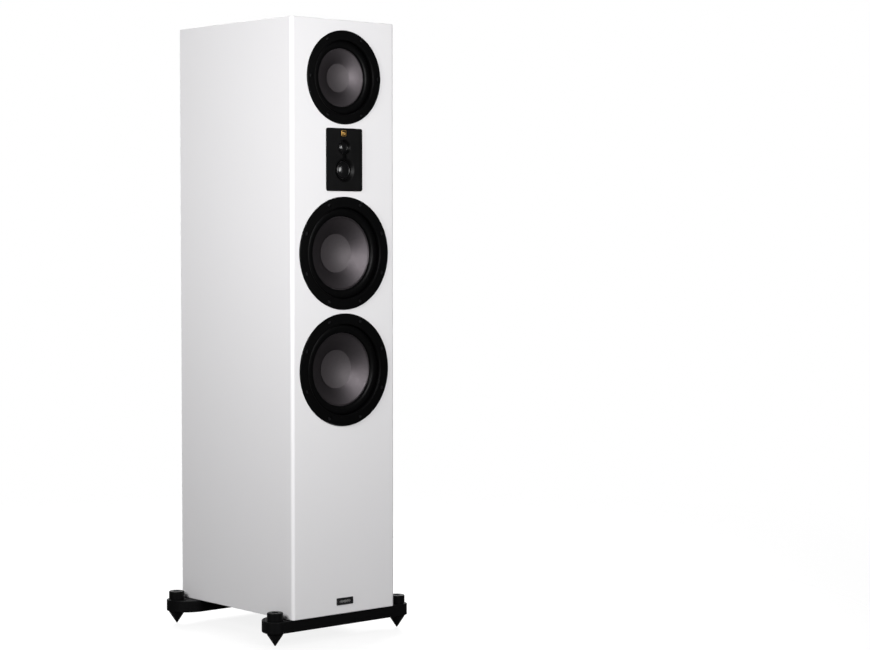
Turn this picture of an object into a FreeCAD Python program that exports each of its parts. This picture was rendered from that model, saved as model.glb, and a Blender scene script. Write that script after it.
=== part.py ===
"""Floorstanding three-way loudspeaker, in millimetres.

z = 0 is the floor under the spike tips, x = 0 is the cabinet's middle plane and the drivers look
along -Y. A driver is drawn about its own axis, with depth 0 on the baffle's front face and depth
growing into the cabinet.
"""

import FreeCAD, Part
import math
import os
import re
import Sketcher

SIZES = {
    # Cabinet: lacquered panels on spikes.
    "cab_width": 260, "cab_depth": 378, "cab_height": 1178, "cab_base": 49,
    "panel": 18, "baffle": 25, "edge_chamfer": 7,
    "brace": 18, "brace_rim": 24, "lower_brace": 399, "upper_brace": 642, "divider": 868,
    "foam": 20, "foam_gap": 6, "foam_front": 84, "foam_rear": 11,
    # Crossover board on the bottom panel.
    "board_width": 170, "board_front": 14, "board_length": 265, "board_thick": 3, "board_foot": 8,
    "foot_radius": 6, "foot_inset": 12,
    "coil_bore": 12, "coil_radius": 25, "coil_height": 26, "coil_pitch": 55, "coil_row": 44,
    "cap_can_radius": 13, "cap_can_length": 56, "cap_can_offset": 40, "cap_can_row": 89,
    "cap_can_pitch": 30,
    "resistor_width": 9, "resistor_length": 48, "resistor_pitch": 30, "resistor_row": 142,
    "cable_radius": 4, "cable_first": 51, "cable_pitch": 11, "cable_row": 100, "cable_bend": 25,
    "cable_end": 100, "cable_hole_gap": 0.6,
    # Bass-reflex port in the rear panel.
    "port_height": 270, "port_bore": 37, "port_wall": 3.5, "port_length": 165, "port_gap": 0.5,
    "port_barrel": 50.5, "port_barrel_length": 20, "port_lip": 58, "port_lip_thick": 2.5,
    "port_mouth": 48.5, "port_flare": 16,
    # Terminal cup and binding posts.
    "cup_height": 150, "cup_width": 90, "cup_tall": 62, "cup_depth": 34, "cup_wall": 3,
    "cup_gap": 1, "lip_width": 112, "lip_tall": 84, "lip_thick": 2.5, "lip_screw_x": 50,
    "lip_screw_z": 36, "post_offset": 19, "stud_radius": 4, "stud_length": 37, "stud_tail": 9,
    "collar_radius": 9, "collar_thick": 3, "nut_radius": 7, "nut_thick": 4,
    "socket_radius": 2.05, "socket_depth": 16, "wire_hole": 1.5, "post_gap": 0.35,
    "washer_radius": 8.5, "washer_thick": 2, "post_cap_radius": 8, "post_cap_length": 25,
    "post_cap_end": 1.5, "post_cap_mouth": 3, "grip_groove": 0.9,
    # Screws.
    "screw_head": 3.7, "screw_head_tall": 1.3, "screw_shank": 2.1, "screw_length": 26,
    "screw_key": 1.7, "screw_key_depth": 1, "screw_sink": 1.5, "screw_gap": 0.3,
    "small_head": 3.4, "small_head_tall": 1.8, "small_shank": 1.6, "small_length": 14,
    "bolt_head": 8, "bolt_head_tall": 5, "bolt_shank": 4, "bolt_length": 38, "bolt_key": 3.5,
    "bolt_key_depth": 3, "bolt_offset": 70,
    # Woofers.
    "woofer_upper": 767, "woofer_lower": 536,
    "woofer_ring": 112, "woofer_bore": 90.5, "woofer_seat": 94.2, "woofer_flange": 109,
    "woofer_wall": 100.8, "woofer_hips": 14, "woofer_waist": 67, "woofer_waist_depth": 56,
    "woofer_back": 76, "woofer_mouth": 42, "woofer_ledge": 57, "woofer_spider": 54,
    "woofer_window": 70, "woofer_window_end": 88, "woofer_window_half": 18,
    "woofer_seat_depth": 9.5, "woofer_edge": 10, "woofer_cone": 73, "woofer_cap": 38.8,
    "woofer_cap_depth": 27, "woofer_cap_sag": 9,
    "woofer_paper": 1.4, "woofer_former": 25.5, "woofer_former_top": 33, "woofer_former_end": 92,
    "woofer_winding": 27.2, "woofer_winding_top": 69, "woofer_winding_end": 91,
    "woofer_plate": 60, "woofer_plate_thick": 8, "woofer_magnet": 68, "woofer_magnet_bore": 33,
    "woofer_magnet_thick": 20, "woofer_yoke": 64, "woofer_pole": 24.9, "woofer_pole_top": 72,
    "woofer_vent": 7, "woofer_screws": 104, "woofer_first_screw": 22.5,
    # Midrange driver.
    "mid_height": 1114,
    "mid_ring": 92.5, "mid_bore": 73, "mid_seat": 76.7, "mid_flange": 91,
    "mid_wall": 83.8, "mid_hips": 13.5, "mid_waist": 52, "mid_waist_depth": 44,
    "mid_back": 60, "mid_mouth": 32, "mid_ledge": 42.5, "mid_spider": 42.5,
    "mid_window": 55, "mid_window_end": 71, "mid_window_half": 15,
    "mid_seat_depth": 9.5, "mid_edge": 9.5, "mid_cone": 57.5, "mid_cap": 28.5,
    "mid_cap_depth": 19.5, "mid_cap_sag": 4.6,
    "mid_paper": 1.2, "mid_former": 19, "mid_former_top": 23.4, "mid_former_end": 75,
    "mid_winding": 20.3, "mid_winding_top": 56, "mid_winding_end": 70,
    "mid_plate": 48, "mid_plate_thick": 6, "mid_magnet": 54, "mid_magnet_bore": 26,
    "mid_magnet_thick": 16, "mid_yoke": 51, "mid_pole": 18.5, "mid_pole_top": 57,
    "mid_vent": 5, "mid_screws": 87, "mid_first_screw": 0,
    # Sizes that all cone drivers share.
    "ring_proud": 2.5, "ring_soft": 0.6, "flange_thick": 5, "cutout_gap": 0.5,
    "seat_thick": 3, "basket_wall": 4, "rubber": 1.2, "roll_drop": 3,
    "spider_cloth": 0.7, "spider_wave": 1.6, "former_wall": 0.4, "skin": 0.8, "coil_gap": 0.7,
    "glue_gap": 0.1,
    # Tweeter plate with its two domes.
    "plate_height": 952, "plate_width": 90, "plate_tall": 124, "plate_thick": 8,
    "plate_proud": 2.5, "plate_corner": 4.5, "plate_gap": 0.3, "plate_window": 30,
    "plate_window_low": 50, "plate_window_high": 48, "neck_half": 5,
    "tweeter_centre": -20.5, "tweeter_dish": 24.5, "tweeter_step": 18.5, "tweeter_dome": 14,
    "tweeter_rise": 5, "tweeter_motor": 27, "tweeter_motor_thick": 20,
    "super_centre": 24, "super_dish": 15.5, "super_step": 12.6, "super_dome": 9.5,
    "super_rise": 3.4, "super_motor": 17, "super_motor_thick": 15,
    "dish_depth": 3.5, "step_depth": 1.5, "step_width": 1.3, "dome_skin": 0.5, "dome_gap": 0.4,
    "dome_coil": 7, "dome_groove": 7, "dome_groove_gap": 0.5,
    "emblem_width": 16, "emblem_tall": 12, "emblem_thick": 1, "emblem_height": 1004,
    # Nameplate.
    "name_width": 42, "name_tall": 14, "name_thick": 1.5, "name_height": 74, "name_corner": 1,
    # Outriggers and spikes.
    "rigger_half": 176.5, "rigger_depth": 71, "rigger_thick": 23.3, "rigger_outer": 20.5,
    "rigger_inner": 50, "rigger_edge": 1.5, "spike_offset": 156, "spike_inset": 21,
    "front_reach": 186.6, "rear_reach": 192.6,
    "sleeve_radius": 16, "sleeve_top": 66, "sleeve_foot": 22.3, "sleeve_bore": 6.4,
    "sleeve_round": 2, "sleeve_gap": 0.1, "sleeve_bevel": 0.6,
    "spike_radius": 15.8, "spike_tip": 1, "spike_stud": 6, "spike_stud_top": 56,
    "spike_key": 3.5, "spike_key_depth": 8,
}

doc = FreeCAD.newDocument("Floorstander")
sheet = doc.addObject("Spreadsheet::Sheet", "Sizes")
for row, (alias, size) in enumerate(SIZES.items(), 1):
    sheet.set(f"A{row}", alias)
    sheet.set(f"B{row}", str(size))
    sheet.setAlias(f"B{row}", alias)
doc.recompute()

ALIAS = re.compile(r"\b(" + "|".join(sorted(SIZES, key=len, reverse=True)) + r")\b")
UP = "XZ_Plane"
FLAT = "XY_Plane"
Y_AXIS = FreeCAD.Rotation(FreeCAD.Vector(1, 0, 0), -90)
DRIVERS = {"woofer_upper": "woofer", "woofer_lower": "woofer", "midrange": "mid"}
SCREW_COUNT = {"woofer": 8, "mid": 6}
pieces = []


# ---------------------------------------------------------------- rules and small helpers

def bound(rule):
    """A rule such as "cab_width / 2", with each name pointed at its spreadsheet cell."""
    return ALIAS.sub(r"Sizes.\1", rule)


def value(rule):
    """The number that a rule comes to."""
    return float(sheet.evalExpression(bound(rule)))


def drive(target, **rules):
    """Bind properties of an object to rules; Base_x stands for Placement.Base.x."""
    for name, rule in rules.items():
        path = name.replace("Base_", "Placement.Base.")
        target.setExpression(path, bound(rule))


def place(target, x="0", y="0", z="0"):
    drive(target, Base_x=x, Base_y=y, Base_z=z)
    return target


def keep(target, label):
    """Name an object as a sub-part of the loudspeaker."""
    target.Label = label
    pieces.append(target)
    return target


# ---------------------------------------------------------------- solids bound to the sheet

def block(x, y, z):
    """A box between three pairs of rules."""
    box = doc.addObject("Part::Box", "Block")
    for side, axis, (low, high) in zip(("Length", "Width", "Height"), "xyz", (x, y, z)):
        drive(box, **{side: f"({high}) - ({low})", f"Base_{axis}": low})
    return box


def rod(radius, low, high, x="0", y="0", z="0", along="z"):
    """A cylinder along y or z, from low to high on that axis."""
    cylinder = doc.addObject("Part::Cylinder", "Rod")
    drive(cylinder, Radius=radius, Height=f"({high}) - ({low})")
    if along == "y":
        cylinder.Placement.Rotation = Y_AXIS
        place(cylinder, x, low, z)
    else:
        place(cylinder, x, y, low)
    return cylinder


def joined(name, parts):
    fused = doc.addObject("Part::MultiFuse", name)
    fused.Shapes = parts
    return fused


def cut(name, base, tools):
    """The base with every tool taken out of it."""
    result = doc.addObject("Part::Cut", name)
    result.Base = base
    result.Tool = tools[0] if len(tools) == 1 else joined(f"{name}_tools", tools)
    return result


def grouped(name, parts):
    """Separate solids that share one sub-part."""
    compound = doc.addObject("Part::Compound", name)
    compound.Links = parts
    return compound


def copies(name, original, spots):
    """Copies of one turned piece, moved to several spots."""
    doc.recompute()
    group = doc.addObject("Part::Feature", name)
    shapes = []
    for spot in spots:
        shape = original.Shape.copy()
        shape.translate(FreeCAD.Vector(*spot))
        shapes.append(shape)
    group.Shape = Part.makeCompound(shapes)
    return group


# ---------------------------------------------------------------- sketched bodies

def arc_between(start, end, centre_x, centre_y, side):
    """The arc from start to end about a centre of which one coordinate is given."""
    (x1, y1), (x2, y2) = start, end
    if centre_x is None:
        centre_x = ((y2 - centre_y) ** 2 - (y1 - centre_y) ** 2 + x2 ** 2 - x1 ** 2) / (2 * (x2 - x1))
    else:
        centre_y = ((x2 - centre_x) ** 2 - (x1 - centre_x) ** 2 + y2 ** 2 - y1 ** 2) / (2 * (y2 - y1))
    radius = math.hypot(x1 - centre_x, y1 - centre_y)
    begin = math.atan2(y1 - centre_y, x1 - centre_x)
    finish = math.atan2(y2 - centre_y, x2 - centre_x)
    if side < 0:
        begin, finish = finish, begin
    circle = Part.Circle(FreeCAD.Vector(centre_x, centre_y, 0), FreeCAD.Vector(0, 0, 1), radius)
    return Part.ArcOfCircle(circle, begin, finish)


def fix_point(sketch, geometry, end, x_rule, y_rule):
    """Hold one end of a line or arc at the place that two rules give."""
    for kind, rule, axis in (("DistanceX", x_rule, -2), ("DistanceY", y_rule, -1)):
        if rule == "0":
            sketch.addConstraint(Sketcher.Constraint("PointOnObject", geometry, end, axis))
        else:
            index = sketch.addConstraint(Sketcher.Constraint(kind, -1, 1, geometry, end, value(rule)))
            sketch.setExpression(f"Constraints[{index}]", bound(rule))


def outline(body, plane, points):
    """A closed sketch through points. A point is (x, y), or (x, y, axis, rule, side) where the edge
    that leaves it is an arc whose centre has that x or y, turning with side 1 or against it, -1."""
    sketch = body.newObject("Sketcher::SketchObject", f"{body.Name}_outline")
    origin = next(f for f in body.Origin.OriginFeatures if f.Role == plane)
    sketch.AttachmentSupport = (origin, [""])
    sketch.MapMode = "FlatFace"
    spots = [(value(point[0]), value(point[1])) for point in points]
    ends = []
    for index, point in enumerate(points):
        start, end = spots[index], spots[(index + 1) % len(spots)]
        if len(point) == 2:
            sketch.addGeometry(Part.LineSegment(FreeCAD.Vector(*start, 0), FreeCAD.Vector(*end, 0)), False)
            ends.append((1, 2))
        else:
            axis, rule, side = point[2:]
            middle = value(rule)
            arc = arc_between(start, end, middle if axis == "x" else None,
                              middle if axis == "y" else None, side)
            sketch.addGeometry(arc, False)
            ends.append((1, 2) if side > 0 else (2, 1))
    for index, point in enumerate(points):
        before = index - 1 if index else len(points) - 1
        sketch.addConstraint(Sketcher.Constraint("Coincident", before, ends[before][1], index, ends[index][0]))
    for index, point in enumerate(points):
        fix_point(sketch, index, ends[index][0], point[0], point[1])
        if len(point) > 2:
            axis, rule = point[2:4]
            if rule == "0":
                sketch.addConstraint(Sketcher.Constraint("PointOnObject", index, 3, -2 if axis == "x" else -1))
            else:
                kind = "DistanceX" if axis == "x" else "DistanceY"
                fixed = sketch.addConstraint(Sketcher.Constraint(kind, -1, 1, index, 3, value(rule)))
                sketch.setExpression(f"Constraints[{fixed}]", bound(rule))
    return sketch


def turned(name, points, upright=False):
    """A body of revolution from (radius, depth) points, about Y, or about Z if upright."""
    body = doc.addObject("PartDesign::Body", name)
    sketch = outline(body, UP if upright else FLAT, points)
    spin = body.newObject("PartDesign::Revolution", f"{name}_turned")
    spin.Profile = sketch
    spin.ReferenceAxis = (sketch, ["V_Axis"])
    spin.Angle = 360
    body.Tip = spin
    return body


def extruded(name, plane, points, length):
    """A body padded from its outline along the plane's normal."""
    body = doc.addObject("PartDesign::Body", name)
    sketch = outline(body, plane, points)
    pad = body.newObject("PartDesign::Pad", f"{name}_padded")
    pad.Profile = sketch
    drive(pad, Length=length)
    body.Tip = pad
    return body


def rounded(body, radius, wanted):
    """Round the body's edges that a test picks."""
    doc.recompute()
    base = body.Tip
    names = [f"Edge{i}" for i, edge in enumerate(base.Shape.Edges, 1) if wanted(edge)]
    fillet = body.newObject("PartDesign::Fillet", f"{body.Name}_round")
    fillet.Base = (base, names)
    drive(fillet, Radius=radius)
    body.Tip = fillet
    return body


def runs_along(edge, axis):
    """Whether an edge is straight and lies along x, y or z."""
    if edge.Curve.TypeId != "Part::GeomLine":
        return False
    return abs(getattr(edge.Curve.Direction, axis)) > 0.999


def plate(name, width, tall, thick, corner):
    """An upright plate centred on its own origin, with its front at y = 0 and rounded corners."""
    half, high = f"{width} / 2", f"{tall} / 2"
    points = [(f"-{half}", f"-{high}"), (half, f"-{high}"), (half, high), (f"-{half}", high)]
    body = extruded(name, UP, points, thick)
    body.Tip.Reversed = True
    return rounded(body, corner, lambda edge: runs_along(edge, "y"))


# ---------------------------------------------------------------- cabinet

SIDE_IN = "cab_width / 2 - panel"
FRONT = "-cab_depth / 2"
INSIDE_FRONT = "-cab_depth / 2 + baffle"
REAR = "cab_depth / 2"
INSIDE_REAR = "cab_depth / 2 - panel"
TOP = "cab_base + cab_height"
INSIDE_TOP = "cab_base + cab_height - panel"
INSIDE_BASE = "cab_base + panel"


def driver_height(name):
    return "mid_height" if name == "midrange" else name


def front_baffle():
    """The front panel: bevelled upright edges, a stepped hole for each driver."""
    half = "cab_width / 2"
    points = [
        (f"-{half}", INSIDE_FRONT), (f"-{half}", f"{FRONT} + edge_chamfer"),
        (f"-{half} + edge_chamfer", FRONT), (f"{half} - edge_chamfer", FRONT),
        (half, f"{FRONT} + edge_chamfer"), (half, INSIDE_FRONT),
    ]
    slab = place(extruded("baffle_slab", FLAT, points, "cab_height"), z="cab_base")
    tools = []
    for name, kind in DRIVERS.items():
        height = driver_height(name)
        tools.append(rod(f"{kind}_wall + cutout_gap", FRONT, INSIDE_FRONT, z=height, along="y"))
        tools.append(rod(f"{kind}_flange + cutout_gap", FRONT, f"{FRONT} + flange_thick", z=height, along="y"))
    reach = "plate_width / 2 + plate_gap"
    low, high = "plate_height - plate_tall / 2 - plate_gap", "plate_height + plate_tall / 2 + plate_gap"
    tools.append(block((f"-({reach})", reach), (FRONT, f"{FRONT} + plate_thick - plate_proud"), (low, high)))
    tools.append(block(("-plate_window", "plate_window"), (FRONT, INSIDE_FRONT),
                       ("plate_height - plate_window_low", "plate_height + plate_window_high")))
    keep(cut("front_baffle", slab, tools), "front_baffle")


def cabinet_panels():
    upright = (INSIDE_FRONT, REAR), ("cab_base", TOP)
    keep(block(("-cab_width / 2", f"-({SIDE_IN})"), *upright), "side_panel_left")
    keep(block((SIDE_IN, "cab_width / 2"), *upright), "side_panel_right")
    across = (f"-({SIDE_IN})", SIDE_IN), (INSIDE_FRONT, REAR)
    keep(block(*across, (INSIDE_TOP, TOP)), "top_panel")
    keep(block(*across, ("cab_base", INSIDE_BASE)), "bottom_panel")
    slab = block((f"-({SIDE_IN})", SIDE_IN), (INSIDE_REAR, REAR), (INSIDE_BASE, INSIDE_TOP))
    port = rod("port_barrel + port_gap", INSIDE_REAR, REAR, z="port_height", along="y")
    half, high = "(cup_width / 2 + cup_gap)", "(cup_tall / 2 + cup_gap)"
    cup = block((f"-{half}", half), (INSIDE_REAR, REAR), (f"cup_height - {high}", f"cup_height + {high}"))
    keep(cut("rear_panel", slab, [port, cup]), "rear_panel")


def inner_braces():
    """Two window braces, and the solid shelf that parts the woofers' chamber from the upper one."""
    across = (f"-({SIDE_IN})", SIDE_IN), (INSIDE_FRONT, INSIDE_REAR)
    window = (f"-({SIDE_IN} - brace_rim)", f"{SIDE_IN} - brace_rim")
    window_depth = (f"{INSIDE_FRONT} + brace_rim", f"{INSIDE_REAR} - brace_rim")
    shelves = []
    for level in ("lower_brace", "upper_brace"):
        tall = (level, f"{level} + brace")
        shelves.append(cut(f"{level}_frame", block(*across, tall), [block(window, window_depth, tall)]))
    holes = [rod("cable_radius + cable_hole_gap", "divider", "divider + brace",
                 x=f"cable_first + cable_pitch * {slot}", y="cable_row") for slot in (0, 1)]
    shelves.append(cut("divider_shelf", block(*across, ("divider", "divider + brace")), holes))
    keep(grouped("inner_braces", shelves), "inner_braces")


def acoustic_foam():
    """Pads on the side and rear walls of each bay, and one under the top."""
    bays = [
        ("lower_brace + brace", "upper_brace"), ("upper_brace + brace", "divider"),
        ("divider + brace", f"{INSIDE_TOP} - foam"), (f"{INSIDE_BASE} + cap_can_pitch", "lower_brace"),
    ]
    depth = (f"{INSIDE_FRONT} + foam_front", f"{INSIDE_REAR} - foam_rear")
    pads = []
    for number, (low, high) in enumerate(bays):
        tall = (f"{low} + foam_gap", f"{high} - foam_gap")
        pads.append(block((f"-({SIDE_IN})", f"-({SIDE_IN} - foam)"), depth, tall))
        pads.append(block((f"{SIDE_IN} - foam", SIDE_IN), depth, tall))
        if number < 3:
            across = (f"-({SIDE_IN} - foam - 2)", f"{SIDE_IN} - foam - 2")
            pads.append(block(across, (f"{INSIDE_REAR} - foam", INSIDE_REAR), tall))
    pads.append(block((f"-({SIDE_IN} - foam)", f"{SIDE_IN} - foam"), depth, (f"{INSIDE_TOP} - foam", INSIDE_TOP)))
    keep(grouped("acoustic_foam", pads), "acoustic_foam")


# ---------------------------------------------------------------- crossover and wiring

BOARD_TOP = f"{INSIDE_BASE} + board_foot + board_thick"


def crossover():
    front = f"{INSIDE_FRONT} + board_front"
    half = "board_width / 2"
    parts = [block((f"-{half}", half), (front, f"{front} + board_length"),
                   (f"{INSIDE_BASE} + board_foot", BOARD_TOP))]
    for x in (f"-{half} + foot_inset", f"{half} - foot_inset"):
        for y in (f"{front} + foot_inset", f"{front} + board_length - foot_inset"):
            parts.append(rod("foot_radius", INSIDE_BASE, f"{INSIDE_BASE} + board_foot", x=x, y=y))
    keep(joined("crossover_board", parts), "crossover_board")
    coils = []
    for step in (-1, 0, 1):
        spot = {"x": f"coil_pitch * {step}", "y": f"{INSIDE_FRONT} + coil_row"}
        wound = rod("coil_radius", BOARD_TOP, f"{BOARD_TOP} + coil_height", **spot)
        core = rod("coil_bore", BOARD_TOP, f"{BOARD_TOP} + coil_height", **spot)
        coils.append(cut(f"coil_{step + 1}", wound, [core]))
    keep(grouped("crossover_inductors", coils), "crossover_inductors")
    cans = []
    for side in (-1, 1):
        for step in (0, 1):
            can = doc.addObject("Part::Cylinder", "Can")
            can.Placement.Rotation = FreeCAD.Rotation(FreeCAD.Vector(0, 1, 0), 90)
            drive(can, Radius="cap_can_radius", Height="cap_can_length")
            place(can, f"cap_can_offset * {side} - cap_can_length / 2",
                  f"{INSIDE_FRONT} + cap_can_row + cap_can_pitch * {step}", f"{BOARD_TOP} + cap_can_radius")
            cans.append(can)
    keep(grouped("crossover_capacitors", cans), "crossover_capacitors")
    bars = []
    for step in (-1.5, -0.5, 0.5, 1.5):
        middle = f"resistor_pitch * {step}"
        row = f"{INSIDE_FRONT} + resistor_row"
        bars.append(block((f"{middle} - resistor_width / 2", f"{middle} + resistor_width / 2"),
                          (row, f"{row} + resistor_length"), (BOARD_TOP, f"{BOARD_TOP} + resistor_width")))
    keep(grouped("crossover_resistors", bars), "crossover_resistors")


def wiring_loom():
    """One cable for each driver: up from the board, round one bend and forward to the driver."""
    heights = ("plate_height", "mid_height", "woofer_upper", "woofer_lower")
    cables = []
    for slot, height in enumerate(heights):
        x = f"cable_first + cable_pitch * {slot}"
        upright = rod("cable_radius", BOARD_TOP, f"{height} - cable_bend", x=x, y="cable_row")
        level = rod("cable_radius", "-cable_end", "cable_row - cable_bend", x=x, z=height, along="y")
        bend = doc.addObject("Part::Torus", "Bend")
        drive(bend, Radius1="cable_bend", Radius2="cable_radius")
        bend.Angle3 = 90
        turn = FreeCAD.Rotation(FreeCAD.Vector(0, 0, 1), FreeCAD.Vector(1, 0, 0))
        bend.Placement.Rotation = turn
        place(bend, x, "cable_row - cable_bend", f"{height} - cable_bend")
        cables.append(joined(f"cable_{slot}", [upright, bend, level]))
    keep(grouped("wiring_loom", cables), "wiring_loom")


# ---------------------------------------------------------------- rear fittings

def port_tube():
    """Bass-reflex tube with a flared mouth and a lip on the rear panel."""
    outside = "port_bore + port_wall"
    points = [
        ("port_bore", "-port_length"), (outside, "-port_length"), (outside, "-port_barrel_length"),
        ("port_barrel", "-port_barrel_length"), ("port_barrel", "0"), ("port_lip", "0"),
        ("port_lip", "port_lip_thick"), ("port_mouth", "port_lip_thick", "y", "-port_flare", 1),
        ("port_bore", "-port_flare"),
    ]
    keep(place(turned("port_tube", points), y=REAR, z="port_height"), "port_tube")


CUP_FLOOR = f"{REAR} - cup_depth + cup_wall"


def terminal_cup():
    """Moulded cup sunk into the rear panel, with a lip for four screws."""
    width, tall = "cup_width / 2", "cup_tall / 2"

    def ring(half_x, half_z, low, high):
        return block((f"-({half_x})", half_x), (low, high), (f"cup_height - ({half_z})", f"cup_height + {half_z}"))

    shell = joined("cup_shell", [
        ring(width, tall, f"{REAR} - cup_depth", REAR),
        ring("lip_width / 2", "lip_tall / 2", REAR, f"{REAR} + lip_thick"),
    ])
    tools = [ring(f"{width} - cup_wall", f"{tall} - cup_wall", CUP_FLOOR, f"{REAR} + lip_thick")]
    for side in (-1, 1):
        tools.append(rod("stud_radius + post_gap", f"{REAR} - cup_depth", CUP_FLOOR,
                         x=f"post_offset * {side}", z="cup_height", along="y"))
        for level in (-1, 1):
            tools.append(rod("small_shank + post_gap", REAR, f"{REAR} + lip_thick", x=f"lip_screw_x * {side}",
                             z=f"cup_height + lip_screw_z * {level}", along="y"))
    keep(cut("terminal_cup", shell, tools), "terminal_cup")


def binding_posts():
    """Two studs through the cup, each with a clamping washer and a screw cap."""
    end = "stud_length - socket_depth"
    stud_points = [
        ("0", "-stud_tail"), ("stud_radius", "-stud_tail"), ("stud_radius", "-cup_wall - nut_thick"),
        ("nut_radius", "-cup_wall - nut_thick"), ("nut_radius", "-cup_wall"), ("stud_radius", "-cup_wall"),
        ("stud_radius", "0"), ("collar_radius", "0"), ("collar_radius", "collar_thick"),
        ("stud_radius", "collar_thick"), ("stud_radius", "stud_length - stud_tail"),
        ("socket_radius", "stud_length - stud_tail"), ("socket_radius", f"{end} - stud_tail"),
        ("0", f"{end} - stud_tail"),
    ]
    studs = []
    for side in (-1, 1):
        stud = place(turned(f"stud_{side + 1}", stud_points), f"post_offset * {side}", CUP_FLOOR, "cup_height")
        hole = rod("wire_hole", "cup_height - collar_radius", "cup_height + collar_radius",
                   x=f"post_offset * {side}", y=f"{CUP_FLOOR} + collar_thick + washer_thick")
        studs.append(cut(f"drilled_stud_{side + 1}", stud, [hole]))
    keep(grouped("binding_studs", studs), "binding_studs")
    inner = "stud_radius + post_gap"
    washer_points = [
        (inner, "0"), ("washer_radius", "0"), ("washer_radius", "washer_thick"), (inner, "washer_thick"),
    ]
    length, floor = "post_cap_length", "post_cap_length - post_cap_end"
    cap_points = [
        (inner, "0"), ("post_cap_radius", "0"), ("post_cap_radius", f"{length} - post_cap_end"),
        ("post_cap_radius - post_cap_end", length), ("post_cap_mouth", length),
        ("post_cap_mouth", floor), (inner, floor),
    ]
    for colour, side in (("black", 1), ("red", -1)):
        seat = f"{CUP_FLOOR} + collar_thick"
        spot = {"x": f"post_offset * {side}", "z": "cup_height"}
        washer = turned(f"post_washer_{colour}", washer_points)
        keep(place(washer, y=seat, **spot), f"post_washer_{colour}")
        cap = place(turned(f"cap_{colour}", cap_points), y=f"{seat} + washer_thick", **spot)
        grooves = []
        for step in range(12):
            turn = math.radians(30 * step)
            grooves.append(rod("grip_groove", f"{seat} + washer_thick + 3", f"{seat} + washer_thick + 21",
                               x=f"post_offset * {side} + post_cap_radius * {math.cos(turn):.6f}",
                               z=f"cup_height + post_cap_radius * {math.sin(turn):.6f}", along="y"))
        keep(cut(f"post_cap_{colour}", cap, grooves), f"post_cap_{colour}")


# ---------------------------------------------------------------- screws

def screw(name, head, head_tall, shank, length, key=None, key_depth=None):
    """A screw that points along +Y, with the underside of its head at y = 0."""
    points = [
        ("0", f"-{head_tall}"), (head, f"-{head_tall}"), (head, "0"), (shank, "0"),
        (shank, f"{length} - {shank}"), ("0", length),
    ]
    body = turned(name, points)
    if key is None:
        return body
    hexagon = doc.addObject("Part::Prism", f"{name}_key")
    hexagon.Polygon = 6
    hexagon.Placement.Rotation = Y_AXIS
    drive(hexagon, Circumradius=key, Height=key_depth, Base_y=f"-{head_tall}")
    return cut(f"{name}_socketed", body, [hexagon])


def circle_spots(kind, height):
    """Where a driver's screws stand: x and z, evenly round its axis."""
    radius, first, count = value(f"{kind}_screws"), value(f"{kind}_first_screw"), SCREW_COUNT[kind]
    turns = [math.radians(first + 360 / count * step) for step in range(count)]
    return [(radius * math.cos(turn), value(height) + radius * math.sin(turn)) for turn in turns]


def all_screws():
    master = screw("driver_screw", "screw_head", "screw_head_tall", "screw_shank", "screw_length",
                   "screw_key", "screw_key_depth")
    seat = value(f"{FRONT} - ring_proud + screw_sink")
    spots = []
    for name, kind in DRIVERS.items():
        spots += [(x, seat, z) for x, z in circle_spots(kind, driver_height(name))]
    keep(copies("driver_screws", master, spots), "driver_screws")

    small = screw("terminal_screw", "small_head", "small_head_tall", "small_shank", "small_length")
    doc.recompute()
    turned_round = doc.addObject("Part::Feature", "terminal_screw_turned")
    flipped = small.Shape.copy()
    flipped.rotate(FreeCAD.Vector(0, 0, 0), FreeCAD.Vector(0, 0, 1), 180)
    turned_round.Shape = flipped
    spots = [(value("lip_screw_x") * side, value(f"{REAR} + lip_thick"),
              value("cup_height") + value("lip_screw_z") * level) for side in (-1, 1) for level in (-1, 1)]
    keep(copies("terminal_screws", turned_round, spots), "terminal_screws")


# ---------------------------------------------------------------- cone drivers

def drilled(name, kind, base, low, high, radius):
    """A ring or basket with its screw holes, about its own axis."""
    tools = []
    for x, z in circle_spots(kind, "0"):
        tools.append(rod(radius, low, high, x=f"{x:.5f}", z=f"{z:.5f}", along="y"))
    return cut(name, base, tools)


def trim_ring(label, kind):
    """The black ring over a driver's flange, with a skirt that clamps the surround."""
    bore, rim, seat = f"{kind}_bore", f"{kind}_ring", f"{kind}_seat - screw_gap"
    points = [
        (bore, "-ring_proud + ring_soft"), (f"{bore} + ring_soft", "-ring_proud"),
        (f"{rim} - ring_soft", "-ring_proud"), (rim, "-ring_proud + ring_soft"), (rim, "0"),
        (seat, "0"), (seat, f"{kind}_seat_depth - rubber"), (bore, f"{kind}_seat_depth - rubber"),
    ]
    ring = turned(f"{label}_blank", points)
    bored = drilled(f"{label}_bored", kind, ring, "-ring_proud", "0", "screw_shank + screw_gap")
    return drilled(label, kind, bored, "-ring_proud", "-ring_proud + screw_sink", "screw_head + screw_gap")


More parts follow.
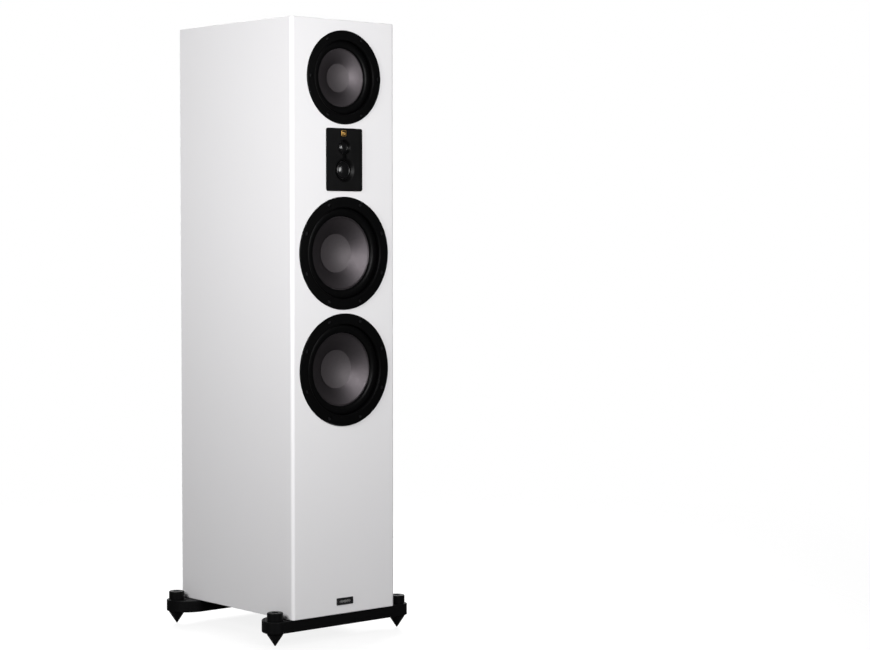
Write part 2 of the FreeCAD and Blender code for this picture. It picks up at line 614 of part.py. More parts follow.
def basket(label, kind):
    """Cast frame: flange, six legs round open windows, spider ledge and rear ring."""
    wall, waist = f"{kind}_wall", f"{kind}_waist"
    hips, waist_depth, back = f"{kind}_hips", f"{kind}_waist_depth", f"{kind}_back"
    ledge, spider = f"{kind}_ledge", f"{kind}_spider"
    points = [
        (f"{kind}_seat", "0"), (f"{kind}_flange", "0"), (f"{kind}_flange", "flange_thick"),
        (wall, "flange_thick"), (wall, hips), (waist, waist_depth), (waist, back),
        (f"{kind}_mouth", back), (f"{kind}_mouth", f"{back} - basket_wall"),
        (f"{waist} - basket_wall", f"{back} - basket_wall"),
        (f"{waist} - basket_wall", f"{spider} + seat_thick"), (ledge, f"{spider} + seat_thick"),
        (ledge, spider), (f"{waist} - seat_thick", spider), (f"{wall} - basket_wall - 1", hips),
        (f"{kind}_bore", f"{kind}_seat_depth + seat_thick"), (f"{kind}_bore", f"{kind}_seat_depth"),
        (f"{kind}_seat", f"{kind}_seat_depth"),
    ]
    shell = drilled(f"{label}_shell", kind, turned(f"{label}_blank", points), "0", "flange_thick",
                    "screw_shank + screw_gap")
    tools = []
    for step in range(6):
        window = doc.addObject("Part::Box", "Window")
        drive(window, Length=f"{kind}_window_end - {kind}_window", Width=f"{back}",
              Height=f"{kind}_window_half * 2")
        lean = math.radians(60 * step + 30)
        window.Placement.Rotation = FreeCAD.Rotation(FreeCAD.Vector(0, 1, 0), -math.degrees(lean))
        cos, sin = f"{math.cos(lean):.8f}", f"{math.sin(lean):.8f}"
        place(window, f"{kind}_window * {cos} + {kind}_window_half * {sin}", "flange_thick",
              f"{kind}_window * {sin} - {kind}_window_half * {cos}")
        tools.append(window)
    return cut(label, shell, tools)


def motor_steel(label, kind):
    """Front plate and yoke with its vented pole: two solids with the magnet between them."""
    gap = f"{kind}_winding + coil_gap"
    rear = f"{kind}_back + {kind}_plate_thick"
    behind = f"{rear} + {kind}_magnet_thick"
    front = turned(f"{label}_front", [
        (gap, f"{kind}_back"), (f"{kind}_plate", f"{kind}_back"), (f"{kind}_plate", rear), (gap, rear),
    ])
    yoke = turned(f"{label}_yoke", [
        (f"{kind}_vent", f"{kind}_pole_top"), (f"{kind}_pole", f"{kind}_pole_top"), (f"{kind}_pole", behind),
        (f"{kind}_yoke", behind), (f"{kind}_yoke", f"{behind} + {kind}_plate_thick"),
        (f"{kind}_vent", f"{behind} + {kind}_plate_thick"),
    ])
    return grouped(label, [front, yoke])


def magnet(label, kind):
    front = f"{kind}_back + {kind}_plate_thick"
    rear = f"{front} + {kind}_magnet_thick"
    return turned(label, [
        (f"{kind}_magnet_bore", front), (f"{kind}_magnet", front), (f"{kind}_magnet", rear),
        (f"{kind}_magnet_bore", rear),
    ])


def cone(label, kind):
    """Straight-sided cone from the surround down to the voice coil former."""
    edge = f"{kind}_edge"
    slope = f"({kind}_cap_depth - {edge}) / ({kind}_cone - {kind}_cap)"
    neck = f"{kind}_former + former_wall + glue_gap"
    neck_depth = f"{edge} + ({kind}_cone - ({neck})) * {slope}"
    return turned(label, [
        (f"{kind}_cone", edge), (f"{kind}_cone", f"{edge} + {kind}_paper"),
        (neck, f"{neck_depth} + {kind}_paper"), (neck, neck_depth),
    ])


def dust_cap(label, kind):
    """Inward-curved cap glued on the cone."""
    edge, front = f"{kind}_cap - screw_gap", f"{kind}_cap_depth - skin"
    return turned(label, [
        ("0", f"{front} + {kind}_cap_sag", "x", "0", -1), (edge, front), (edge, f"{front} + skin", "x", "0", 1),
        ("0", f"{front} + {kind}_cap_sag + skin"),
    ])


def surround(label, kind):
    """Rubber half roll between the cone's edge and the basket's seat."""
    inner, outer = f"{kind}_cone + former_wall / 2", f"{kind}_bore"
    seat_depth, foot = f"{kind}_seat_depth", f"{kind}_edge + {kind}_paper"
    front = f"{seat_depth} - rubber"
    return turned(label, [
        (inner, front, "y", f"{front} + roll_drop", 1), (outer, front), (f"{kind}_seat - screw_gap", front),
        (f"{kind}_seat - screw_gap", seat_depth), (f"{outer} - rubber", seat_depth),
        (f"{outer} - rubber", front, "y", f"{front} + roll_drop", -1), (f"{inner} + rubber", front),
        (f"{inner} + rubber", foot), (inner, foot),
    ])


def spider(label, kind):
    """Corrugated cloth disc that centres the voice coil."""
    inner, outer = f"{kind}_former + former_wall + glue_gap", f"{kind}_waist - basket_wall - screw_gap"
    plane = f"{kind}_spider - spider_cloth"
    waves = 12
    front, back = [(inner, plane)], []
    for step in range(1, waves):
        height = f"{plane} - spider_wave" if step % 2 else plane
        radius = f"{inner} + ({kind}_ledge - ({inner})) * {step} / {waves}"
        front.append((radius, height))
        back.insert(0, (radius, f"{height} + spider_cloth"))
    front += [(f"{kind}_ledge", plane), (outer, plane), (outer, f"{kind}_spider")]
    back = [(f"{kind}_ledge", f"{kind}_spider")] + back + [(inner, f"{kind}_spider")]
    return turned(label, front + back)


def voice_coil(label, kind):
    """Former tube with its winding."""
    tube = f"{kind}_former + former_wall"
    return turned(label, [
        (f"{kind}_former", f"{kind}_former_top"), (tube, f"{kind}_former_top"), (tube, f"{kind}_winding_top"),
        (f"{kind}_winding", f"{kind}_winding_top"), (f"{kind}_winding", f"{kind}_winding_end"),
        (tube, f"{kind}_winding_end"), (tube, f"{kind}_former_end"), (f"{kind}_former", f"{kind}_former_end"),
    ])


def cone_drivers():
    makers = {
        "trim_ring": trim_ring, "cone": cone, "dust_cap": dust_cap, "voice_coil": voice_coil,
        "surround": surround, "spider": spider, "basket": basket, "magnet": magnet,
        "motor_steel": motor_steel,
    }
    shared = {"basket": "woofer_baskets", "magnet": "woofer_magnets", "motor_steel": "woofer_motor_steel"}
    for piece, maker in makers.items():
        pair = []
        for name, kind in DRIVERS.items():
            made = place(maker(f"{name}_{piece}", kind), y=FRONT, z=driver_height(name))
            if piece in shared and kind == "woofer":
                pair.append(made)
            else:
                keep(made, f"{name}_{piece}")
        if pair:
            keep(grouped(shared[piece], pair), shared[piece])


# ---------------------------------------------------------------- tweeter plate

DOMES = ("tweeter", "super")


def tweeter_plate():
    """One plate for both domes: two stepped dishes joined by a narrow neck."""
    slab = plate("plate_slab", "plate_width", "plate_tall", "plate_thick", "plate_corner")
    tools = []
    for kind in DOMES:
        hole = f"{kind}_step - step_width"
        dish = turned(f"{kind}_dish_tool", [
            ("0", "0"), (f"{kind}_dish", "0"), (f"{kind}_step", "dish_depth"),
            (f"{kind}_step", "dish_depth + step_depth"), (hole, "dish_depth + step_depth"),
            (hole, "plate_thick"), ("0", "plate_thick"),
        ])
        tools.append(place(dish, z=f"{kind}_centre"))
    tools.append(block(("-neck_half", "neck_half"), ("0", "dish_depth"), ("tweeter_centre", "super_centre")))
    whole = cut("tweeter_plate", slab, tools)
    keep(place(whole, y=f"{FRONT} - plate_proud", z="plate_height"), "tweeter_plate")


def domes_and_motors():
    """Each dome is one soft skin with its roll and coil, over a motor behind the plate."""
    motors = []
    for kind, label in (("tweeter", "tweeter_dome"), ("super", "super_tweeter_dome")):
        rim = f"{kind}_step - step_width - dome_gap"
        dome, coil = f"{kind}_dome", f"{kind}_dome - dome_skin"
        base = "dish_depth + step_depth + dome_skin"
        skin = turned(label, [
            ("0", f"{base} - {kind}_rise", "x", "0", 1), (dome, base), (f"({dome} + {rim}) / 2", f"{base} - 1"),
            (rim, base), (rim, f"{base} + dome_skin"), (dome, f"{base} + dome_skin"),
            (dome, f"{base} + dome_coil"), (coil, f"{base} + dome_coil"),
            (coil, f"{base} + dome_skin", "x", "0", -1), ("0", f"{base} - {kind}_rise + dome_skin"),
        ])
        centre = f"plate_height + {kind}_centre"
        keep(place(skin, y=f"{FRONT} - plate_proud", z=centre), label)
        outside, pole = f"{dome} + dome_groove_gap", f"{coil} - dome_groove_gap"
        back = f"{kind}_motor_thick"
        motor = turned(f"{kind}_motor_body", [
            ("0", "0"), (pole, "0"), (pole, "dome_groove"), (outside, "dome_groove"), (outside, "0"),
            (f"{kind}_motor", "0"), (f"{kind}_motor", back), ("0", back),
        ])
        motors.append(place(motor, y=f"{FRONT} - plate_proud + plate_thick", z=centre))
    keep(grouped("tweeter_motors", motors), "tweeter_motors")


def badges():
    emblem = plate("tweeter_emblem", "emblem_width", "emblem_tall", "emblem_thick", "emblem_tall / 2 - 0.1")
    keep(place(emblem, y=f"{FRONT} - plate_proud - emblem_thick", z="emblem_height"), "tweeter_emblem")
    name = plate("nameplate", "name_width", "name_tall", "name_thick", "name_corner")
    keep(place(name, y=f"{FRONT} - name_thick", z="name_height"), "nameplate")


# ---------------------------------------------------------------- outriggers and spikes

def outrigger(label, reach, side):
    """A flat bar under the cabinet; side is -1 for the front bar and 1 for the rear one. Its outer
    corners turn round the spikes and its inner corners sweep in more widely."""
    outer, inner = f"{side} * {reach}", f"{side} * ({reach} - rigger_depth)"
    points = [("-rigger_half", outer), ("rigger_half", outer), ("rigger_half", inner), ("-rigger_half", inner)]
    bar = extruded(f"{label}_bar", FLAT, points, "rigger_thick")

    def corner(test):
        return lambda edge: runs_along(edge, "z") and test(edge.Vertexes[0].Point.y * side)

    middle = value(f"{reach} - rigger_depth / 2")
    rounded(bar, "rigger_outer", corner(lambda y: y > middle))
    rounded(bar, "rigger_inner", corner(lambda y: y < middle))
    rounded(bar, "rigger_edge", lambda edge: abs(edge.Vertexes[0].Point.z - edge.Vertexes[-1].Point.z) < 0.01)
    place(bar, z="cab_base - rigger_thick")
    low, tools = "cab_base - rigger_thick", []
    for x in (-1, 1):
        spike_y = f"{side} * ({reach} - spike_inset)"
        tools.append(rod("sleeve_radius + sleeve_gap", low, "cab_base", x=f"spike_offset * {x}", y=spike_y))
        bolt_y = f"{side} * ({reach} - rigger_depth / 2)"
        tools.append(rod("bolt_shank + screw_gap", low, "cab_base", x=f"bolt_offset * {x}", y=bolt_y))
        tools.append(rod("bolt_head + screw_gap", low, f"{low} + bolt_head_tall", x=f"bolt_offset * {x}", y=bolt_y))
    keep(cut(label, bar, tools), label)


def feet():
    outrigger("outrigger_front", "front_reach", -1)
    outrigger("outrigger_rear", "rear_reach", 1)

    bolt = turned("bolt_blank", [
        ("0", "0"), ("bolt_head", "0"), ("bolt_head", "bolt_head_tall"), ("bolt_shank", "bolt_head_tall"),
        ("bolt_shank", "bolt_length"), ("0", "bolt_length"),
    ], upright=True)
    key = doc.addObject("Part::Prism", "bolt_key_hole")
    key.Polygon = 6
    drive(key, Circumradius="bolt_key", Height="bolt_key_depth")
    master = cut("outrigger_bolt", bolt, [key])
    rows = (value("-front_reach + rigger_depth / 2"), value("rear_reach - rigger_depth / 2"))
    low, reach = value("cab_base - rigger_thick"), value("bolt_offset")
    keep(copies("outrigger_bolts", master, [(x, y, low) for x in (-reach, reach) for y in rows]),
         "outrigger_bolts")

    bevel, crown = "sleeve_radius - sleeve_bevel", "sleeve_radius - sleeve_round"
    sleeve_points = [
        ("sleeve_bore", "sleeve_foot"), (bevel, "sleeve_foot"), ("sleeve_radius", "sleeve_foot + sleeve_bevel"),
        ("sleeve_radius", "sleeve_top - sleeve_round", "x", crown, 1), (crown, "sleeve_top"),
        ("sleeve_bore", "sleeve_top"),
    ]
    spike_points = [
        ("0", "0"), ("spike_tip", "0"), ("spike_radius", "sleeve_foot"), ("spike_stud", "sleeve_foot"),
        ("spike_stud", "spike_stud_top"), ("0", "spike_stud_top"),
    ]
    sleeves = []
    for end, y in (("front", "-front_reach + spike_inset"), ("rear", "rear_reach - spike_inset")):
        for hand, side in (("left", -1), ("right", 1)):
            x = f"spike_offset * {side}"
            sleeves.append(place(turned(f"sleeve_{end}_{hand}", sleeve_points, upright=True), x, y))
            blank = turned(f"spike_{end}_{hand}_blank", spike_points, upright=True)
            socket = doc.addObject("Part::Prism", "Spike_key")
            socket.Polygon = 6
            drive(socket, Circumradius="spike_key", Height="spike_key_depth",
                  Base_z="spike_stud_top - spike_key_depth")
            spike = cut(f"spike_{end}_{hand}", blank, [socket])
            keep(place(spike, x, y), f"spike_{end}_{hand}")
    keep(grouped("spike_sleeves", sleeves), "spike_sleeves")


# ---------------------------------------------------------------- build, check and write

def faults():
    """Objects that failed to compute, and sub-parts with no sound shape."""
    found = []
    for item in doc.Objects:
        if "Invalid" in item.State or "Error" in item.State:
            found.append(f"{item.Name} ({item.Label}): {item.State}")
    for item in pieces:
        if item.Shape.isNull() or not item.Shape.isValid() or not item.Shape.Solids:
            found.append(f"{item.Label}: no valid shape")
    return found


front_baffle()
cabinet_panels()
inner_braces()
acoustic_foam()
crossover()
wiring_loom()
port_tube()
terminal_cup()
binding_posts()
cone_drivers()
all_screws()
tweeter_plate()
domes_and_motors()
badges()
feet()
doc.recompute()

problems = faults()
if problems:
    raise SystemExit("\n".join(problems))

os.makedirs("parts", exist_ok=True)
for item in pieces:
    item.Shape.exportStep(os.path.join("parts", f"{item.Label}.step"))
print(len(pieces), "sub-parts written")
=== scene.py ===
"""Looks of the floorstanding loudspeaker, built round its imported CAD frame. Metres; z = 0 is the floor.

The drivers face -Y. Turned pieces are drawn as (radius, depth) outlines about a driver's own axis, with
depth 0 on the baffle's front face and depth growing into the cabinet.
"""

import math

import bmesh
import bpy
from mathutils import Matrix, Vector
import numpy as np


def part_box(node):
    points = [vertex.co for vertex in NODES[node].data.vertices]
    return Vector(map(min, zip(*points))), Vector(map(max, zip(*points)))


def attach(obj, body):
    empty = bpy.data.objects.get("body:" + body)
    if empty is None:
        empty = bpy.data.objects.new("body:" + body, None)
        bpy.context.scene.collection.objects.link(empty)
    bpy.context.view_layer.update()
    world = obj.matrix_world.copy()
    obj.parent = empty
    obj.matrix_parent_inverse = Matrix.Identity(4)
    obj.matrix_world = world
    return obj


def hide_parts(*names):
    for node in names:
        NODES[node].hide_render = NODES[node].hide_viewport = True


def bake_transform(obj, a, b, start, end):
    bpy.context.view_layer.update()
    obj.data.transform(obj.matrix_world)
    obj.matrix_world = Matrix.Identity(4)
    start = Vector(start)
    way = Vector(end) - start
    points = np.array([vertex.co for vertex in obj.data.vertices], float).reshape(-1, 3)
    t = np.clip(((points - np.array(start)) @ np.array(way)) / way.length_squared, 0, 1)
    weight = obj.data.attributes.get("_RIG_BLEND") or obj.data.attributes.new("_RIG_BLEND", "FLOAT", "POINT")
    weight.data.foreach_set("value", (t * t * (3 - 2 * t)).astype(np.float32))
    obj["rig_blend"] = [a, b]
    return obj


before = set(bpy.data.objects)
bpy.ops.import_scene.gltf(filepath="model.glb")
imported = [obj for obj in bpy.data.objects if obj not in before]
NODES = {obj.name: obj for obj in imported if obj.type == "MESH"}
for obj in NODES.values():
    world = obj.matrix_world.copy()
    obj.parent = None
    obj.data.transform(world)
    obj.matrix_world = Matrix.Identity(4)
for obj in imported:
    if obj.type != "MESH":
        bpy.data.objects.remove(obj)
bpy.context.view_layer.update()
ROOT = "speaker"
MM = 0.001
TINY = 0.01 * MM
SHARP = 35    # degrees an edge has to turn to stay crisp
CURVE = 24    # steps along a drawn curve


def span(node):
    """A node's lowest corner, highest corner and size."""
    low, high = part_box(node)
    return low, high, high - low


def middle(node):
    """The centre of a node's box."""
    low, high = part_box(node)
    return (low + high) / 2


def radius_of(node):
    """A turned node's outer radius."""
    return span(node)[2].z / 2


def corners_of(node):
    """Every vertex of a node, in the shared frame."""
    place = NODES[node].matrix_world
    return [place @ vert.co for vert in NODES[node].data.vertices]


def bore_of(node):
    """The smallest distance of a turned node's surface from its own axis."""
    centre = middle(node)
    return min(math.hypot(spot.x - centre.x, spot.z - centre.z) for spot in corners_of(node))


FRONT = span("front_baffle")[0].y
REAR = span("rear_panel")[1].y
MIDDLE = middle("front_baffle") + Vector((0, (REAR - FRONT) / 2, 0))

DRIVERS = {
    "woofer_upper": {"basket": "woofer_baskets", "screws": 8, "first_screw": 22.5},
    "woofer_lower": {"basket": "woofer_baskets", "screws": 8, "first_screw": 22.5},
    "midrange": {"basket": "midrange_basket", "screws": 6, "first_screw": 0},
}


# ---------------------------------------------------------------- node materials

class Surface:
    """A material being put together: a Principled shader with procedural detail around it."""

    def __init__(self, name, colour, roughness, metallic=0.0, **sockets):
        self.material = bpy.data.materials.new(name)
        self.material.use_nodes = True
        self.tree = self.material.node_tree
        self.shader = self.tree.nodes["Principled BSDF"]
        self.colour = colour
        self.roughness = roughness
        self.place = self.node("ShaderNodeTexCoord").outputs["Object"]
        self.shader.inputs["Metallic"].default_value = metallic
        for socket, level in sockets.items():
            self.shader.inputs[socket.replace("_", " ")].default_value = level
        self.normal = None

    def node(self, kind, **settings):
        """A new shader node with its settings."""
        made = self.tree.nodes.new(kind)
        for key, setting in settings.items():
            setattr(made, key, setting)
        return made

    def link(self, source, target):
        """Join an output socket to an input."""
        self.tree.links.new(source, target)

    def along(self, axis):
        """The position along one of the object's own axes."""
        parts = self.node("ShaderNodeSeparateXYZ")
        self.link(self.place, parts.inputs[0])
        return parts.outputs[axis]

    def noise(self, size, detail=3.0, roughness=0.55):
        """Cloudy noise whose features are about size metres across."""
        made = self.node("ShaderNodeTexNoise")
        made.inputs["Scale"].default_value = 1 / size
        made.inputs["Detail"].default_value = detail
        made.inputs["Roughness"].default_value = roughness
        self.link(self.place, made.inputs["Vector"])
        return made.outputs["Fac"]

    def specks(self, size):
        """Cells about size metres across, for castings and powder."""
        made = self.node("ShaderNodeTexVoronoi")
        made.inputs["Scale"].default_value = 1 / size
        self.link(self.place, made.inputs["Vector"])
        return made.outputs["Distance"]

    def math(self, kind, first, second=None):
        """Arithmetic on numbers or sockets."""
        made = self.node("ShaderNodeMath", operation=kind)
        for socket, term in zip(made.inputs, (first, second)):
            if isinstance(term, (int, float)):
                socket.default_value = term
            elif term is not None:
                self.link(term, socket)
        return made.outputs[0]

    def from_axis(self, across=("X", "Z")):
        """Distance from the object's own turning axis."""
        squares = [self.math("POWER", self.along(axis), 2.0) for axis in across]
        return self.math("SQRT", self.math("ADD", *squares))

    def ridges(self, pitch, distance):
        """A sine of a distance, for tool rings, threads and windings."""
        return self.math("SINE", self.math("MULTIPLY", distance, 2 * math.pi / pitch))

    def vary_colour(self, factor, amount, tint=(1.0, 1.0, 1.0)):
        """Run the colour between a darker and a lighter, tinted value of itself."""
        ramp = self.node("ShaderNodeMix", data_type="RGBA")
        dark = [max(0.0, part * (1 - amount)) for part in self.colour]
        light = [min(1.0, part * (1 + amount) * shade) for part, shade in zip(self.colour, tint)]
        ramp.inputs[6].default_value = (*dark, 1)
        ramp.inputs[7].default_value = (*light, 1)
        self.link(factor, ramp.inputs[0])
        self.link(ramp.outputs[2], self.shader.inputs["Base Color"])

    def vary_roughness(self, factor, amount):
        """Let the roughness drift by an amount to either side."""
        spread = self.node("ShaderNodeMapRange")
        spread.inputs["To Min"].default_value = max(0.02, self.roughness - amount)
        spread.inputs["To Max"].default_value = min(1.0, self.roughness + amount)
        self.link(factor, spread.inputs["Value"])
        self.link(spread.outputs["Result"], self.shader.inputs["Roughness"])

    def mottle(self, tone, amount, gloss, spread, tone_detail=4, gloss_detail=4, tint=(1.0, 1.0, 1.0)):
        """Drift of tone and gloss, in clouds about tone and gloss metres across."""
        self.vary_colour(self.noise(tone, tone_detail), amount, tint)
        self.vary_roughness(self.noise(gloss, gloss_detail), spread)

    def bump(self, height, depth):
        """Relief of depth metres; calls stack."""
        made = self.node("ShaderNodeBump")
        made.inputs["Strength"].default_value = 1
        made.inputs["Distance"].default_value = depth
        self.link(height, made.inputs["Height"])
        if self.normal:
            self.link(self.normal, made.inputs["Normal"])
        self.normal = made.outputs["Normal"]
        self.link(self.normal, self.shader.inputs["Normal"])
        return self


def lacquer():
    """Satin white lacquer: faint drift in tone and gloss, and orange peel."""
    made = Surface("satin_white_lacquer", (0.80, 0.792, 0.80), 0.42, Specular_IOR_Level=0.35)
    made.mottle(0.35, 0.012, 0.02, 0.05, tone_detail=2, tint=(1.0, 0.998, 1.004))
    return made.bump(made.noise(0.0035, 2), 0.00004).bump(made.noise(0.0006, 2), 0.000006).material


def powder_coat(name, colour, roughness, grain, depth):
    """Fine textured coating on metal."""
    made = Surface(name, colour, roughness, Specular_IOR_Level=0.10)
    made.mottle(0.03, 0.18, 0.006, 0.07)
    return made.bump(made.noise(grain, 3), depth).material


def plate_coat_with_painted_dish_shade(front):
    """Textured coating, smoother down in the dome dishes behind a front plane, where painted shade also darkens its
    colour.
    """
    made = Surface("tweeter_plate_black", (0.0034, 0.0034, 0.0035), 0.44, Specular_IOR_Level=0.12)
    sunk = made.node("ShaderNodeMapRange")
    sunk.inputs["From Min"].default_value = front + 0.3 * MM
    sunk.inputs["From Max"].default_value = front + 1.6 * MM
    made.link(made.along("Y"), sunk.inputs["Value"])
    dish_shade_and_gloss = sunk.outputs["Result"]
    # painted shade: the colour darkens with depth down in the dishes; the smoother gloss on the next line is the
    # coating's own
    made.vary_colour(made.math("SUBTRACT", made.noise(0.03, 4), dish_shade_and_gloss), 0.55)
    made.vary_roughness(made.math("SUBTRACT", made.noise(0.006, 4), dish_shade_and_gloss), 0.14)
    return made.bump(made.noise(0.0005, 3), 0.000015).material


def moulded(name, colour, roughness, grain=0.0006, depth=0.00002):
    """Moulded plastic with a spark-eroded grain."""
    made = Surface(name, colour, roughness)
    made.mottle(0.02, 0.10, 0.004, 0.06, gloss_detail=3)
    return made.bump(made.specks(grain), depth).material


def spun_nickel(name, colour, roughness, pitch, metallic):
    """Black nickel with fine tool rings about an upright axis."""
    made = Surface(name, colour, roughness, metallic)
    made.mottle(0.012, 0.10, 0.003, 0.06)
    rings, depth = made.ridges(pitch, made.from_axis(("X", "Y"))), 0.000004
    return made.bump(rings, depth).bump(made.noise(0.0008, 3), depth).material


def plain_metal(name, colour, roughness, metallic=1.0):
    """Plated or oxidised metal with a faint mottle."""
    made = Surface(name, colour, roughness, metallic)
    made.mottle(0.006, 0.14, 0.002, 0.08)
    return made.bump(made.noise(0.0005, 3), 0.000006).material


def cone_metal(name, colour, roughness, metallic):
    """Grey anodised metal: silky, with faint spun rings and a cloudy tone."""
    made = Surface(name, colour, roughness, metallic)
    made.mottle(0.018, 0.07, 0.005, 0.05, tint=(1.03, 0.99, 1.0))
    rings = made.ridges(0.0011, made.from_axis())
    return made.bump(rings, 0.0000035).bump(made.noise(0.0012, 3), 0.000008).material


def rubber():
    """Moulded butyl rubber with a bloom that comes and goes."""
    made = Surface("surround_rubber", (0.0016, 0.0016, 0.0017), 0.36, Specular_IOR_Level=0.08)
    made.mottle(0.012, 0.30, 0.006, 0.09, tone_detail=5)
    return made.bump(made.noise(0.0009, 3), 0.00002).material


def cloth(name, colour, thread, roughness=0.8, sheen=0.25, depth=0.00005):
    """Plain woven cloth: two crossed sets of threads."""
    made = Surface(name, colour, roughness, Sheen_Weight=sheen)
    made.mottle(0.003, 0.20, 0.002, 0.06, gloss_detail=3)
    threads = [made.ridges(thread, made.along(axis)) for axis in ("X", "Z")]
    return made.bump(made.math("MULTIPLY", *threads), depth).material


def board(name, colour):
    """Bare fibreboard."""
    made = Surface(name, colour, 0.85)
    made.vary_colour(made.noise(0.0015, 5, 0.7), 0.16, (1.04, 1.0, 0.94))
    made.vary_roughness(made.noise(0.004, 3), 0.08)
    return made.bump(made.noise(0.0012, 4), 0.00012).material


def foam():
    """Open-celled dark foam."""
    made = Surface("acoustic_foam", (0.05, 0.05, 0.055), 0.95)
    made.vary_colour(made.specks(0.002), 0.4)
    made.vary_roughness(made.noise(0.003, 3), 0.04)
    return made.bump(made.specks(0.0016), 0.0006).material


def glossy(name, colour, roughness=0.12):
    """Gloss moulding or lacquer with a slight waviness."""
    made = Surface(name, colour, roughness, Coat_Weight=0.4, Coat_Roughness=0.05)
    made.mottle(0.01, 0.10, 0.004, 0.04, tone_detail=3)
    return made.bump(made.noise(0.003, 2), 0.00001).material


def wound_wire():
    """Enamelled wire, wound in close turns."""
    made = Surface("copper_winding", (0.62, 0.25, 0.10), 0.32, 0.9)
    made.mottle(0.003, 0.18, 0.002, 0.08, gloss_detail=3)
    return made.bump(made.ridges(0.0011, made.along("Z")), 0.0002).material


LACQUER = lacquer()
RING = powder_coat("ring_satin_black", (0.0010, 0.0010, 0.0011), 0.38, 0.0007, 0.00001)
CONE = cone_metal("cone_grey_anodised", (0.081, 0.074, 0.079), 0.51, 1.0)
CAP = cone_metal("cap_grey_anodised", (0.094, 0.086, 0.091), 0.60, 0.72)
RUBBER = rubber()
TWEETER = plate_coat_with_painted_dish_shade(span("tweeter_plate")[0].y)
DOME = cloth("dome_coated_cloth", (0.0025, 0.0025, 0.0028), 0.0006, 0.22, sheen=0.0, depth=0.00001)
GOLD = plain_metal("emblem_gold", (0.62, 0.36, 0.10), 0.34)
NAME = glossy("nameplate_gloss_black", (0.008, 0.008, 0.009))
INLAY = plain_metal("nameplate_inlay", (0.62, 0.62, 0.60), 0.35, 0.6)
OUTRIGGER = powder_coat("outrigger_powder_black", (0.0022, 0.0022, 0.0024), 0.50, 0.0009, 0.00003)
SLEEVE = powder_coat("sleeve_satin_black", (0.0026, 0.0026, 0.0028), 0.36, 0.0006, 0.00001)
SPIKE = spun_nickel("spike_black_nickel", (0.012, 0.012, 0.013), 0.34, 0.0009, 0.8)
SCREW = plain_metal("screw_black_oxide", (0.045, 0.045, 0.048), 0.38)
PORT = moulded("port_matt_black", (0.014, 0.014, 0.015), 0.50)
CUP = moulded("terminal_cup_black", (0.016, 0.016, 0.017), 0.46, 0.0008, 0.00003)
BRASS = plain_metal("gold_plated_brass", (0.78, 0.50, 0.18), 0.24)
RED = glossy("post_cap_red_gloss", (0.42, 0.010, 0.012), 0.22)
BLACK = glossy("post_cap_black_gloss", (0.012, 0.012, 0.013), 0.22)
BASKET = powder_coat("basket_casting_black", (0.02, 0.02, 0.021), 0.5, 0.0012, 0.00008)
FERRITE = powder_coat("magnet_ferrite", (0.045, 0.045, 0.047), 0.6, 0.002, 0.00006)
STEEL = plain_metal("motor_zinc_steel", (0.48, 0.48, 0.50), 0.34)
SPIDER = cloth("spider_cloth", (0.42, 0.30, 0.12), 0.0011)
COPPER = wound_wire()
FOAM = foam()
BOARD = board("bare_fibreboard", (0.46, 0.34, 0.21))
CIRCUIT = moulded("circuit_board_green", (0.02, 0.10, 0.04), 0.4)
FILM = glossy("capacitor_film", (0.62, 0.46, 0.08), 0.25)
CERAMIC = moulded("resistor_ceramic", (0.72, 0.70, 0.64), 0.7, 0.0009, 0.00005)
CABLE = moulded("cable_sleeve", (0.03, 0.03, 0.032), 0.6)


# ---------------------------------------------------------------- meshes

ON_AXIS = 1e-7       # a radius below this is a point on the turning axis
SIDE_SHARE = 0.49    # the most of a side that the arc at one corner takes


def as_object(name, mesh_edit, material, smooth=SHARP):
    """A mesh object from a bmesh, shaded smooth but for edges sharper than an angle in degrees."""
    bmesh.ops.recalc_face_normals(mesh_edit, faces=mesh_edit.faces)
    data = bpy.data.meshes.new(name)
    mesh_edit.to_mesh(data)
    mesh_edit.free()
    data.materials.append(material)
    data.shade_smooth()
    data.set_sharp_from_angle(angle=math.radians(smooth))
    made = bpy.data.objects.new(name, data)
    bpy.context.scene.collection.objects.link(made)
    return made


def softened(points, closed=True, steps=4):
    """An outline with its corners rounded. A point is (x, y) or (x, y, radius)."""
    result = []
    count = len(points)
    for index, point in enumerate(points):
        corner = Vector(point[:2])
        radius = point[2] if len(point) > 2 else 0
        at_end = not closed and index in (0, count - 1)
        if not radius or at_end:
            result.append(tuple(corner))
            continue
        before = Vector(points[index - 1][:2]) - corner
        after = Vector(points[(index + 1) % count][:2]) - corner
        half = before.angle(after) / 2
        reach = min(radius / math.tan(half), before.length * SIDE_SHARE, after.length * SIDE_SHARE)
        start, end = corner + before.normalized() * reach, corner + after.normalized() * reach
        turn = reach * math.tan(half)
        centre = corner + (before.normalized() + after.normalized()).normalized() * (turn / math.sin(half))
        arm = start - centre
        sweep = arm.angle_signed(end - centre)
        for step in range(steps + 1):
            angle = sweep * step / steps
            turned = Vector((arm.x * math.cos(angle) + arm.y * math.sin(angle),
                             arm.y * math.cos(angle) - arm.x * math.sin(angle)))
            result.append(tuple(centre + turned))
    return result


def lathe(name, outline, centre, material, segments=144, closed=True, smooth=SHARP):
    """A body turned from (radius, depth) points. An outline that isn't closed starts and ends on the axis."""
    points = softened(outline, closed)
    mesh_edit = bmesh.new()
    rows = []
    for radius, depth in points:
        count = 1 if radius < ON_AXIS else segments
        row = []
        for step in range(count):
            angle = 2 * math.pi * step / segments
            row.append(mesh_edit.verts.new((radius * math.cos(angle), depth, radius * math.sin(angle))))
        rows.append(row)
    pairs = list(zip(rows, rows[1:] + rows[:1])) if closed else list(zip(rows, rows[1:]))
    for row, after in pairs:
        for step in range(segments):
            corners = [row[step % len(row)], row[(step + 1) % len(row)],
                       after[(step + 1) % len(after)], after[step % len(after)]]
            corners = [vert for place, vert in enumerate(corners) if vert not in corners[:place]]
            if len(corners) > 2:
                mesh_edit.faces.new(corners)
    made = as_object(name, mesh_edit, material, smooth)
    made.location = centre
    return made


